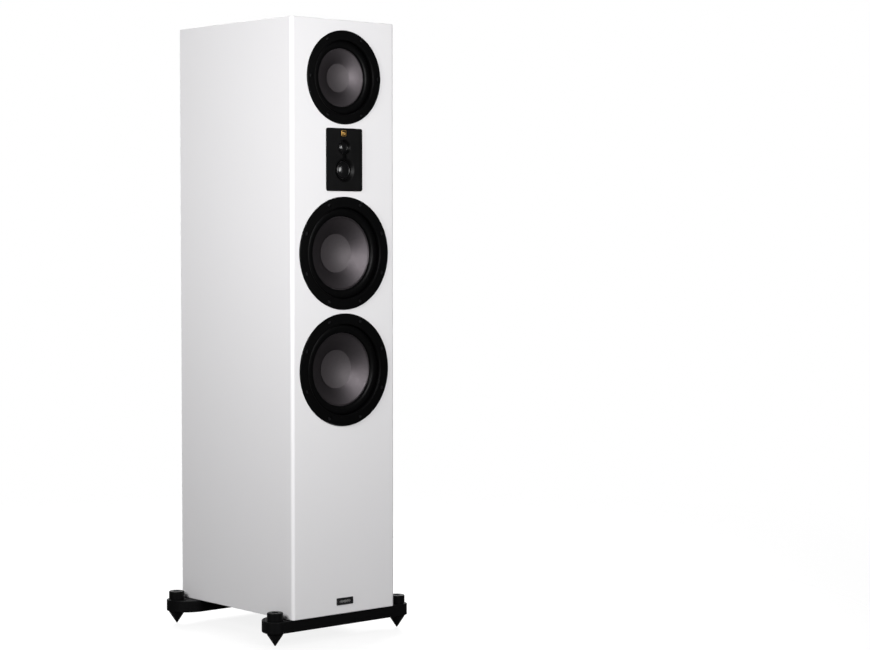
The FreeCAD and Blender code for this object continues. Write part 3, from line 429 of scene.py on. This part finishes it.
def rounded_rectangle(width, height, radii, steps=6):
    """Corner points of a rectangle about its own middle, anticlockwise from the low left corner."""
    x, y = width / 2, height / 2
    corners = [(-x, -y), (x, -y), (x, y), (-x, y)]
    return softened([(*corner, radius) for corner, radius in zip(corners, radii)], steps=steps)


def stacked(name, loops, material):
    """A closed body through loops of equal point counts."""
    mesh_edit = bmesh.new()
    rows = [[mesh_edit.verts.new(spot) for spot in loop] for loop in loops]
    for row, after in zip(rows, rows[1:]):
        for step in range(len(row)):
            following = (step + 1) % len(row)
            mesh_edit.faces.new((row[step], row[following], after[following], after[step]))
    mesh_edit.faces.new(rows[0])
    mesh_edit.faces.new(rows[-1])
    return as_object(name, mesh_edit, material)


def slab(name, width, height, thick, corner, edge, centre, material, steps=5):
    """An upright plate facing -Y with rounded corners and a rounded front edge; its back is at centre."""
    loops = []
    for step in range(steps + 1):
        angle = math.pi / 2 * step / steps
        inset, depth = edge * (1 - math.sin(angle)), -thick + edge * (1 - math.cos(angle))
        rounding = [max(corner - inset, TINY)] * 4
        outline = rounded_rectangle(width - 2 * inset, height - 2 * inset, rounding)
        loops.append([(x, depth, z) for x, z in outline])
    loops.append([(x, 0, z) for x, _, z in loops[-1]])
    made = stacked(name, loops, material)
    made.location = centre
    return made


def block(name, low, high):
    """A box between two corners, for cutting with."""
    loops = []
    for z in (low[2], high[2]):
        loops.append([(low[0], low[1], z), (high[0], low[1], z), (high[0], high[1], z), (low[0], high[1], z)])
    return stacked(name, loops, LACQUER)


def apply_modifiers(piece):
    """Make what the modifiers give the piece's own mesh."""
    graph = bpy.context.evaluated_depsgraph_get()
    baked = bpy.data.meshes.new_from_object(piece.evaluated_get(graph))
    piece.modifiers.clear()
    piece.data = baked


def carve(piece, cutters):
    """Cut pieces out of another, one after the other, and throw the cutters away."""
    for cutter in cutters:
        cut = piece.modifiers.new("cut", "BOOLEAN")
        cut.operation = "DIFFERENCE"
        cut.solver = "EXACT"
        cut.object = cutter
        bpy.context.view_layer.update()
        apply_modifiers(piece)
        bpy.data.objects.remove(cutter)


def shade(piece):
    """Smooth shading with crisp edges and flat faces that stay flat."""
    piece.data.shade_smooth()
    piece.data.set_sharp_from_angle(angle=math.radians(SHARP))
    weigh = piece.modifiers.new("normals", "WEIGHTED_NORMAL")
    weigh.keep_sharp = True


def joined(name, parts):
    """Several objects made one, each keeping its own material."""
    bpy.context.view_layer.update()
    mesh_edit = bmesh.new()
    materials = []
    for part in parts:
        data = part.data.copy()
        data.transform(part.matrix_world)
        first = len(mesh_edit.faces)
        mesh_edit.from_mesh(data)
        mesh_edit.faces.ensure_lookup_table()
        material = part.data.materials[0]
        if material not in materials:
            materials.append(material)
        for face in mesh_edit.faces[first:]:
            face.material_index = materials.index(material)
        bpy.data.meshes.remove(data)
        bpy.data.objects.remove(part)
    made = as_object(name, mesh_edit, materials[0])
    for material in materials[1:]:
        made.data.materials.append(material)
    return made


def stands_for(piece, body, slot, *nodes):
    """Ride on a body and take the place of CAD nodes."""
    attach(piece, body)
    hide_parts(*nodes)


# ---------------------------------------------------------------- cabinet

WALL = 18 * MM
FRONT_ROUND = 7 * MM      # the upright front edges
OTHER_ROUND = 1.6 * MM    # every other edge of the case
CLEAR = 10 * MM           # how far a cutter runs past what it cuts
REBATE = 5 * MM           # depth of the ledge a basket's flange lies in
REBATE_GAP = 0.5 * MM
PLATE_CORNER = 4.8 * MM
PLATE_GAP = 0.3 * MM
MOTOR_GAP = (3 * MM, 2 * MM)    # beside the motors, and above and below them
PORT_HOLE = 51 * MM
CUP_LIP = 10 * MM


def case_skin(low, high):
    """The closed outer skin: rounded upright front edges and finely eased edges elsewhere."""
    width, depth = high.x - low.x, REAR - FRONT
    centre_y = (REAR + FRONT) / 2
    steps = 4
    ends = [(low.z, 1, step) for step in range(steps + 1)]
    ends += [(high.z, -1, step) for step in range(steps, -1, -1)]
    loops = []
    for end, side, step in ends:
        angle = math.pi / 2 * step / steps
        inset = OTHER_ROUND * (1 - math.sin(angle))
        z = end + side * OTHER_ROUND * (1 - math.cos(angle))
        radii = [FRONT_ROUND - inset] * 2 + [max(OTHER_ROUND - inset, TINY)] * 2
        outline = rounded_rectangle(width - 2 * inset, depth - 2 * inset, radii, steps=8)
        loops.append([(x, y + centre_y, z) for x, y in outline])
    return stacked("cabinet_case", loops, LACQUER)


def driver_hole(name):
    """Cutter for a cone driver: the baffle's own hole, with a rebate for the basket's flange."""
    height = middle(f"{name}_trim_ring").z
    hole = min(math.hypot(spot.x, spot.z - height) for spot in corners_of("front_baffle"))
    rebate = span(DRIVERS[name]["basket"])[2].x / 2 + REBATE_GAP
    end = 4 * CLEAR
    outline = [(0, -CLEAR), (rebate, -CLEAR), (rebate, REBATE), (hole, REBATE), (hole, end), (0, end)]
    return lathe("hole", outline, (0, FRONT, height), LACQUER, closed=False)


def plate_openings(inside_front):
    """Cutters for the tweeter plate's shallow recess and the window behind it for the motors."""
    low, high, _ = span("tweeter_plate")
    recess = slab("recess", high.x - low.x + 2 * PLATE_GAP, high.z - low.z + 2 * PLATE_GAP,
                  high.y - FRONT + CLEAR, PLATE_CORNER, 0.1 * MM, (0, high.y, (low.z + high.z) / 2), LACQUER)
    low, high, _ = span("tweeter_motors")
    beside, above = MOTOR_GAP
    window = block("window", (low.x - beside, FRONT - CLEAR, low.z - above),
                   (high.x + beside, inside_front + CLEAR, high.z + above))
    return [recess, window]


def rear_openings():
    """Cutters for the port and the terminal cup."""
    port = middle("port_tube")
    start = -WALL - CLEAR
    outline = [(0, start), (PORT_HOLE, start), (PORT_HOLE, CLEAR), (0, CLEAR)]
    port_hole = lathe("port_hole", outline, (port.x, REAR, port.z), LACQUER, closed=False)
    low, high, _ = span("terminal_cup")
    cup_hole = block("cup_hole", (low.x + CUP_LIP, REAR - WALL - CLEAR, low.z + CUP_LIP),
                     (high.x - CUP_LIP, REAR + CLEAR, high.z - CUP_LIP))
    return [port_hole, cup_hole]


def cabinet():
    """Seamless lacquered case, hollow, with an opening for everything that is let into it."""
    low, high = span("side_panel_left")[0], span("side_panel_right")[1]
    case = case_skin(low, high)
    inside_front = span("front_baffle")[1].y
    cavity = block("cavity", (low.x + WALL, inside_front, low.z + WALL),
                   (high.x - WALL, REAR - WALL, high.z - WALL))
    holes = [driver_hole(name) for name in DRIVERS]
    carve(case, [cavity, *holes, *plate_openings(inside_front), *rear_openings()])
    shade(case)
    stands_for(case, ROOT, "lacquer", "front_baffle", "side_panel_left", "side_panel_right", "top_panel",
               "bottom_panel", "rear_panel")


# ---------------------------------------------------------------- cone drivers

SEAT_STEP = 3.4 * MM        # from the ring's bore out to the surround's seat
RIM_EASE = 1.1 * MM
BORE_BEVEL = 1.6 * MM
BEVEL_EASE = 0.5 * MM
SCREW_SHIFT = 0.6 * MM      # the screws sit a little outside the ring's middle
POCKET = 4.1 * MM
POCKET_DEPTH = 1 * MM
SURROUND_SKIN = 1.1 * MM
ROLL_GAP = 0.1 * MM
ROLL_FULLNESS = 0.74        # height of the roll, as a share of the room it has
ROLL_POWER = 0.85           # below 1, the roll's crown is flatter than a circle's
SPIDER_SKIN = 0.7 * MM
SPIDER_RIM = 5.5 * MM
SPIDER_WAVES = 6
SPIDER_STEPS = 60
CONE_PAPER = 1.2 * MM
CONE_FLARE = 0.9 * MM
CONE_LIP = 0.5 * MM
CAP_SKIN = 0.75 * MM
BEAD = ((0, 0.2 * MM), (0.5 * MM, 0), (1.3 * MM, 0.1 * MM))    # in from the rim, back from the front


def ring_of(name, centre):
    """Satin black trim ring with eased edges and a counterbore for each screw."""
    node = f"{name}_trim_ring"
    low, high, _ = span(node)
    rim, proud, skirt = radius_of(node), FRONT - low.y, high.y - FRONT
    seat = radius_of(f"{name}_surround")
    bore = seat - SEAT_STEP
    outline = [
        (rim, 0, 0), (rim, -proud, RIM_EASE), (bore + BORE_BEVEL, -proud, BEVEL_EASE),
        (bore, -proud + BORE_BEVEL, BEVEL_EASE), (bore, skirt), (seat, skirt), (seat, 0),
    ]
    ring = lathe(f"{name}_ring", outline, centre, RING, segments=192)
    screw_circle = (rim + bore) / 2 + SCREW_SHIFT
    screws, first = DRIVERS[name]["screws"], DRIVERS[name]["first_screw"]
    pocket = [(0, -CLEAR), (POCKET, -CLEAR), (POCKET, -POCKET_DEPTH), (0, -POCKET_DEPTH)]
    cutters = []
    for step in range(screws):
        angle = math.radians(first + 360 / screws * step)
        spot = centre + Vector((screw_circle * math.cos(angle), 0, screw_circle * math.sin(angle)))
        cutters.append(lathe("pocket", pocket, spot, RING, segments=32, closed=False))
    carve(ring, [joined("pockets", cutters)])
    shade(ring)
    stands_for(ring, ROOT, "ring_black", node)


def flexes(piece, name, centre, outer, inner):
    """Let a turned piece follow the cabinet at its outer radius and the diaphragm at its inner one."""
    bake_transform(piece, ROOT, f"{name}_diaphragm", start=tuple(centre), end=tuple(centre + Vector((0, 0, outer))))
    weights = piece.data.attributes["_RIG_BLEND"].data
    for vert, weight in zip(piece.data.vertices, weights):
        share = (outer - math.hypot(vert.co.x, vert.co.z)) / (outer - inner)
        share = min(1, max(0, share))
        weight.value = share * share * (3 - 2 * share)


def surround_of(name, centre):
    """Rubber half roll. It follows the cabinet at its outer edge and the cone at its inner one."""
    node = f"{name}_surround"
    low, high, _ = span(node)
    outer, skin = radius_of(node), SURROUND_SKIN
    roll_out, roll_in = outer - SEAT_STEP, radius_of(f"{name}_cone") + ROLL_GAP
    flange = span(f"{name}_trim_ring")[1].y - FRONT
    foot = high.y - FRONT
    rise = (flange - (low.y - FRONT)) * ROLL_FULLNESS
    half, centre_line = (roll_out - roll_in) / 2, (roll_out + roll_in) / 2
    arch = [math.pi * step / CURVE for step in range(CURVE + 1)]
    front = [(centre_line - half * math.cos(turn), flange - rise * math.sin(turn) ** ROLL_POWER)
             for turn in arch]
    rear = [(centre_line - (half - skin) * math.cos(turn),
             flange + skin - rise * math.sin(turn) ** ROLL_POWER) for turn in reversed(arch)]
    outline = [(roll_in, foot)] + front + [(outer, flange), (outer, flange + skin)] + rear
    outline += [(roll_in + skin, foot)]
    piece = lathe(f"{name}_roll", outline, centre, RUBBER, segments=160)
    flexes(piece, name, centre, roll_out, roll_in)
    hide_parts(node)


def spider_of(name, centre):
    """Corrugated cloth disc behind the cone: fixed at its rim, carried by the voice coil at its bore."""
    node = f"{name}_spider"
    low, _, size = span(node)
    plane, wave = low.y - FRONT, size.y - SPIDER_SKIN
    outer, inner = radius_of(node), bore_of(node)
    ledge = outer - SPIDER_RIM
    front = []
    for step in range(SPIDER_STEPS + 1):
        share = step / SPIDER_STEPS
        height = (1 + math.cos(2 * math.pi * SPIDER_WAVES * share)) / 2
        front.append((inner + (ledge - inner) * share, plane + wave * height))
    front.append((outer, plane + wave))
    back = [(radius, depth + SPIDER_SKIN) for radius, depth in reversed(front)]
    piece = lathe(f"{name}_corrugation", front + back, centre, SPIDER, segments=80)
    flexes(piece, name, centre, ledge, inner)
    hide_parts(node)


def cone_of(name, centre):
    """Anodised cone with a rolled rim and a slight flare, and its shallow inward cap."""
    body = f"{name}_diaphragm"
    low, high, _ = span(f"{name}_cone")
    cap_low, cap_high, _ = span(f"{name}_dust_cap")
    rim, neck = radius_of(f"{name}_cone"), bore_of(f"{name}_cone")
    cap_edge = radius_of(f"{name}_dust_cap")
    front, back = low.y - FRONT, high.y - FRONT - CONE_PAPER
    face = []
    for step in range(CURVE + 1):
        radius = rim + (neck - rim) * step / CURVE
        bulge = CONE_FLARE * math.sin(math.pi * min(1, (rim - radius) / (rim - cap_edge)))
        depth = front + CONE_LIP + (back - front - CONE_LIP) * step / CURVE
        face.append((radius, depth - bulge))
    rear = [(radius, depth + CONE_PAPER) for radius, depth in reversed(face)]
    bead = [(rim - inward, front + behind) for inward, behind in BEAD]
    cone = lathe(f"{name}_cone_shell", bead + face[1:] + rear, centre, CONE, segments=192, smooth=50)
    stands_for(cone, body, "cone_grey", f"{name}_cone")

    top = cap_low.y - FRONT
    sag = cap_high.y - cap_low.y - CAP_SKIN
    bowl = [(cap_edge * step / CURVE, top + sag * (1 - (step / CURVE) ** 2)) for step in range(CURVE + 1)]
    under = [(radius, depth + CAP_SKIN) for radius, depth in reversed(bowl)]
    cap = lathe(f"{name}_cap", bowl + under, centre, CAP, segments=160, closed=False, smooth=50)
    stands_for(cap, body, "cone_grey", f"{name}_dust_cap")


def cone_drivers():
    """All of the drawn pieces of the three cone drivers."""
    for name in DRIVERS:
        centre = Vector((0, FRONT, middle(f"{name}_trim_ring").z))
        ring_of(name, centre)
        surround_of(name, centre)
        spider_of(name, centre)
        cone_of(name, centre)


# ---------------------------------------------------------------- tweeter domes and badges

DOMES = {"tweeter": 5.2 * MM, "super_tweeter": 3.6 * MM}    # height of each dome
DOME_CROWN = 0.80           # the crown's share of the dome's radius; the roll has the rest
DOME_ARC = 0.86
DOME_STRETCH = 1.35
DOME_SKIN = 0.45 * MM
DOME_ROLL = 1.1 * MM
DOME_STEPS, DOME_ROLL_STEPS = 14, 8

EMBLEM_WIDTH, EMBLEM_THICK = 12 * MM, 0.7 * MM
EMBLEM_SHIFT = 1.8 * MM     # the mark sits left of its CAD node's middle
EMBLEM_BORDER = 1.3 * MM
EMBLEM_BARS = (3.6 * MM, 6.4 * MM, 4.8 * MM)
NAME_BARS = (2.4, 4.2, 6.0, 3.4, 5.0, 6.4, 4.0, 5.6, 3.0, 4.6, 2.4)    # mm
INLAY_THICK, INLAY_DEPTH = 0.1 * MM, 0.12 * MM


def dome(name, height):
    """Coated cloth dome of a height, with its half-roll edge."""
    node = f"{name}_dome"
    front_plane = span(node)[0].y
    rim = radius_of(node)
    crown = rim * DOME_CROWN
    front = []
    for step in range(DOME_STEPS + 1):
        share = step / DOME_STEPS
        bulge = 1 - math.sqrt(max(0.0, 1 - (share * DOME_ARC) ** 2))
        front.append((crown * share, height * bulge * DOME_STRETCH))
    base = front[-1][1]
    roll = rim - crown
    for step in range(1, DOME_ROLL_STEPS + 1):
        angle = math.pi * step / DOME_ROLL_STEPS
        front.append((crown + roll * (1 - math.cos(angle)) / 2, base - DOME_ROLL * math.sin(angle)))
    rear = [(radius, depth + DOME_SKIN) for radius, depth in reversed(front)]
    centre = Vector((0, front_plane, middle(node).z))
    piece = lathe(f"{name}_dome_skin", front + rear, centre, DOME, segments=96, closed=False, smooth=60)
    stands_for(piece, f"{name}_diaphragm", "dome_cloth", node)


def bars(name, heights, pitch, width, thick, centre, material):
    """A row of upright bars, drawn like a level display."""
    parts = []
    for index, height in enumerate(heights):
        x = (index - (len(heights) - 1) / 2) * pitch
        parts.append(slab(name, width, height, thick, width * 0.3, thick * 0.4,
                          centre + Vector((x, 0, 0)), material, steps=2))
    return parts


def emblem():
    """A gold frame round three level bars."""
    _, high, size = span("tweeter_emblem")
    centre = middle("tweeter_emblem")
    back = Vector((centre.x - EMBLEM_SHIFT, high.y, centre.z))
    border = slab("emblem_frame", EMBLEM_WIDTH, size.z, EMBLEM_THICK, 1.8 * MM, 0.2 * MM, back, GOLD)
    hollow = slab("hollow", EMBLEM_WIDTH - 2 * EMBLEM_BORDER, size.z - 2 * EMBLEM_BORDER, 6 * MM, 1.0 * MM,
                  0.05 * MM, back + Vector((0, 3 * MM, 0)), GOLD)
    carve(border, [hollow])
    levels = bars("emblem_bar", EMBLEM_BARS, 2.5 * MM, 1.4 * MM, EMBLEM_THICK, back, GOLD)
    stands_for(joined("tweeter_mark", [border] + levels), ROOT, "plated_brass", "tweeter_emblem")


def nameplate():
    """A gloss black plate inlaid with a row of plain bars."""
    low, high, size = span("nameplate")
    centre = middle("nameplate")
    back = Vector((centre.x, high.y, centre.z))
    plate = slab("nameplate_plate", size.x, size.z, size.y - INLAY_THICK, 1.2 * MM, 0.35 * MM, back, NAME)
    heights = [height * MM for height in NAME_BARS]
    front = Vector((centre.x, low.y + INLAY_DEPTH, centre.z))
    inlay = bars("inlay_bar", heights, 2.6 * MM, 1.0 * MM, INLAY_THICK, front, INLAY)
    stands_for(joined("nameplate_badge", [plate] + inlay), ROOT, "name_black", "nameplate")


# ---------------------------------------------------------------- foam

FOAM_PITCH = 38 * MM                   # from one peak to the next
FOAM_FINE = 6                          # mesh steps to a peak
FOAM_MEAN, FOAM_SWING = 0.72, 0.28     # shares of the pad's thickness


def islands(node):
    """The lowest and highest corner of each loose solid of a node, in the order of the corners."""
    mesh_edit = bmesh.new()
    mesh_edit.from_mesh(NODES[node].data)
    mesh_edit.transform(NODES[node].matrix_world)
    bmesh.ops.remove_doubles(mesh_edit, verts=mesh_edit.verts, dist=TINY)
    left = set(mesh_edit.verts)
    boxes = []
    while left:
        found, edge = set(), [left.pop()]
        while edge:
            vert = edge.pop()
            found.add(vert)
            edge += [other for link in vert.link_edges for other in link.verts if other in left]
            left -= set(edge)
        corners = [vert.co for vert in found]
        boxes.append(tuple(Vector(pick(corner[axis] for corner in corners) for axis in range(3))
                           for pick in (min, max)))
    mesh_edit.free()
    return sorted(boxes, key=lambda box: (*box[0], *box[1]))     # a set has no order of its own


def egg_crate(mesh_edit, low, high):
    """A profiled foam pad in a box: flat against the panel, peaks and hollows towards the room."""
    size = high - low
    thin = min(range(3), key=lambda axis: size[axis])
    wide, tall = (axis for axis in range(3) if axis != thin)
    outward = (low[thin] + high[thin]) / 2 < MIDDLE[thin]
    wall, reach = (low[thin], size[thin]) if outward else (high[thin], -size[thin])
    rows, columns = (max(1, round(size[axis] / FOAM_PITCH)) * FOAM_FINE for axis in (wide, tall))
    grid = []
    for row in range(rows + 1):
        line = []
        for column in range(columns + 1):
            spot = [0.0, 0.0, 0.0]
            spot[wide] = low[wide] + size[wide] * row / rows
            spot[tall] = low[tall] + size[tall] * column / columns
            peak = math.cos(2 * math.pi * row / FOAM_FINE) * math.cos(2 * math.pi * column / FOAM_FINE)
            spot[thin] = wall + reach * (FOAM_MEAN + FOAM_SWING * peak)
            line.append(mesh_edit.verts.new(spot))
        grid.append(line)
    for line, after in zip(grid, grid[1:]):
        for step in range(len(line) - 1):
            mesh_edit.faces.new((line[step], line[step + 1], after[step + 1], after[step]))
    border = grid[0][:-1] + [line[-1] for line in grid[:-1]]
    border += grid[-1][:0:-1] + [line[0] for line in grid[:0:-1]]
    base = []
    for vert in border:
        spot = vert.co.copy()
        spot[thin] = wall
        base.append(mesh_edit.verts.new(spot))
    for step in range(len(border)):
        after = (step + 1) % len(border)
        mesh_edit.faces.new((border[step], border[after], base[after], base[step]))
    mesh_edit.faces.new(base)


def foam_pads():
    """Every pad in one piece, each in the box of its CAD solid."""
    mesh_edit = bmesh.new()
    for low, high in islands("acoustic_foam"):
        egg_crate(mesh_edit, low, high)
    pads = as_object("foam_pads", mesh_edit, FOAM, smooth=60)
    stands_for(pads, ROOT, "foam", "acoustic_foam")


# ---------------------------------------------------------------- CAD nodes that stay

# Each node's material and its bevel in mm; with 0 its edges stay as they are.
KEPT = {
    "tweeter_plate": (TWEETER, 0.35), "tweeter_motors": (STEEL, 0.5),
    "driver_screws": (SCREW, 0.2), "terminal_screws": (SCREW, 0.2), "outrigger_bolts": (SCREW, 0.5),
    "outrigger_front": (OUTRIGGER, 0), "outrigger_rear": (OUTRIGGER, 0), "spike_sleeves": (SLEEVE, 0),
    "spike_front_left": (SPIKE, 0.3), "spike_front_right": (SPIKE, 0.3),
    "spike_rear_left": (SPIKE, 0.3), "spike_rear_right": (SPIKE, 0.3),
    "port_tube": (PORT, 0.6), "terminal_cup": (CUP, 0.8), "binding_studs": (BRASS, 0.2),
    "post_washer_red": (BRASS, 0.3), "post_washer_black": (BRASS, 0.3),
    "post_cap_red": (RED, 0.3), "post_cap_black": (BLACK, 0.3),
    "woofer_baskets": (BASKET, 0.6), "midrange_basket": (BASKET, 0.6),
    "woofer_magnets": (FERRITE, 1), "midrange_magnet": (FERRITE, 1),
    "woofer_motor_steel": (STEEL, 0.6), "midrange_motor_steel": (STEEL, 0.6),
    "woofer_upper_voice_coil": (COPPER, 0), "woofer_lower_voice_coil": (COPPER, 0),
    "midrange_voice_coil": (COPPER, 0),
    "inner_braces": (BOARD, 1), "crossover_board": (CIRCUIT, 0.3),
    "crossover_inductors": (COPPER, 0.6), "crossover_capacitors": (FILM, 1),
    "crossover_resistors": (CERAMIC, 0.5), "wiring_loom": (CABLE, 0),
}


def dress_kept_nodes():
    """Give each CAD node that stays its material and, where it has hard edges, a fine bevel."""
    for name, (material, edge) in KEPT.items():
        node = NODES[name]
        node.data.materials.clear()
        node.data.materials.append(material)
        if edge:
            bevel = node.modifiers.new("edges", "BEVEL")
            bevel.width = edge * MM
            bevel.segments = 2
            bevel.limit_method = "ANGLE"
            bevel.angle_limit = math.radians(SHARP)


# ---------------------------------------------------------------- floor, light and camera

FLOOR_RADIUS = 7
FLOOR_DROP = 0.5 * MM         # keeps the spikes' tips off the floor's own plane
FLOOR_GLOW = 0.86             # light the floor gives off, to the camera alone
FLOOR_FADE = (0.3, 2.4)       # where the floor starts and ends fading into white
WORLD_LIGHT = 0.06


def studio_floor():
    """A pale floor that fades into a white surround."""
    mesh_edit = bmesh.new()
    bmesh.ops.create_circle(mesh_edit, cap_ends=True, segments=96, radius=FLOOR_RADIUS)
    made = Surface("studio_floor", (0.12, 0.12, 0.12), 0.7)
    made.vary_colour(made.noise(1.5, 2), 0.01)
    made.shader.inputs["Emission Color"].default_value = (1, 1, 1, 1)
    seen_directly = made.node("ShaderNodeLightPath").outputs["Is Camera Ray"]
    made.link(made.math("MULTIPLY", seen_directly, FLOOR_GLOW), made.shader.inputs["Emission Strength"])
    distance = made.from_axis(("X", "Y"))
    fade = made.node("ShaderNodeMapRange", interpolation_type="SMOOTHSTEP")
    fade.inputs["From Min"].default_value, fade.inputs["From Max"].default_value = FLOOR_FADE
    made.link(distance, fade.inputs["Value"])
    clear = made.node("ShaderNodeBsdfTransparent")
    mix = made.node("ShaderNodeMixShader")
    made.link(fade.outputs["Result"], mix.inputs[0])
    made.link(made.shader.outputs[0], mix.inputs[1])
    made.link(clear.outputs[0], mix.inputs[2])
    made.link(mix.outputs[0], made.tree.nodes["Material Output"].inputs["Surface"])
    floor = as_object("studio_ground", mesh_edit, made.material)
    floor.location.z = -FLOOR_DROP


def white_world():
    """White to the camera, and a faint cool light for everything else."""
    world = bpy.data.worlds.new("studio")
    bpy.context.scene.world = world
    world.use_nodes = True
    tree = world.node_tree
    seen = tree.nodes["Background"]
    seen.inputs["Color"].default_value = (1, 1, 1, 1)
    seen.inputs["Strength"].default_value = 1.0
    lighting = tree.nodes.new("ShaderNodeBackground")
    lighting.inputs["Color"].default_value = (0.96, 0.97, 1, 1)
    lighting.inputs["Strength"].default_value = WORLD_LIGHT
    ray = tree.nodes.new("ShaderNodeLightPath")
    mix = tree.nodes.new("ShaderNodeMixShader")
    tree.links.new(ray.outputs["Is Camera Ray"], mix.inputs[0])
    tree.links.new(lighting.outputs[0], mix.inputs[1])
    tree.links.new(seen.outputs[0], mix.inputs[2])
    tree.links.new(mix.outputs[0], tree.nodes["World Output"].inputs["Surface"])


def softbox(name, place, aim, size, power):
    """A square soft light that the camera doesn't see."""
    light = bpy.data.lights.new(name, "AREA")
    light.size = size
    light.energy = power
    made = bpy.data.objects.new(name, light)
    made.location = place
    made.visible_camera = False
    made.rotation_mode = "QUATERNION"
    made.rotation_quaternion = (Vector(aim) - Vector(place)).to_track_quat("-Z", "Y")
    bpy.context.scene.collection.objects.link(made)


def camera():
    """A long lens at chest height, seen from the front left."""
    yaw, pitch = math.radians(-41.347), math.radians(2.458)
    data = bpy.data.cameras.new("camera")
    data.sensor_width = 36
    data.lens = 88.22
    data.clip_end = 100
    made = bpy.data.objects.new("camera", data)
    made.location = (-2.65667, -3.48080, 0.80631)
    back = Vector((math.sin(yaw) * math.cos(pitch), -math.cos(yaw) * math.cos(pitch), math.sin(pitch)))
    made.rotation_mode = "QUATERNION"
    made.rotation_quaternion = (-back).to_track_quat("-Z", "Y")
    bpy.context.scene.collection.objects.link(made)
    bpy.context.scene.camera = made


cabinet()
cone_drivers()
for tweeter, height in DOMES.items():
    dome(tweeter, height)
emblem()
nameplate()
foam_pads()
dress_kept_nodes()
studio_floor()
white_world()
softbox("key", place=(-1.6, -0.5, 1.14), aim=(0, 0, 0.9), size=0.7, power=24.5)
softbox("front", place=(-0.2, -1.8, 1.12), aim=(0, 0, 0.9), size=0.7, power=24.5)
softbox("top", place=(0.2, 0.6, 3.2), aim=(0, 0, 0), size=2.0, power=26)
softbox("back_fill", place=(0.9, 2.8, 2.0), aim=(0, 0, 0.6), size=1.6, power=46)
softbox("right_fill", place=(2.4, 1.8, 1.8), aim=(0, 0, 0.7), size=1.4, power=26)
camera()
bpy.context.scene.view_settings.view_transform = "Standard"
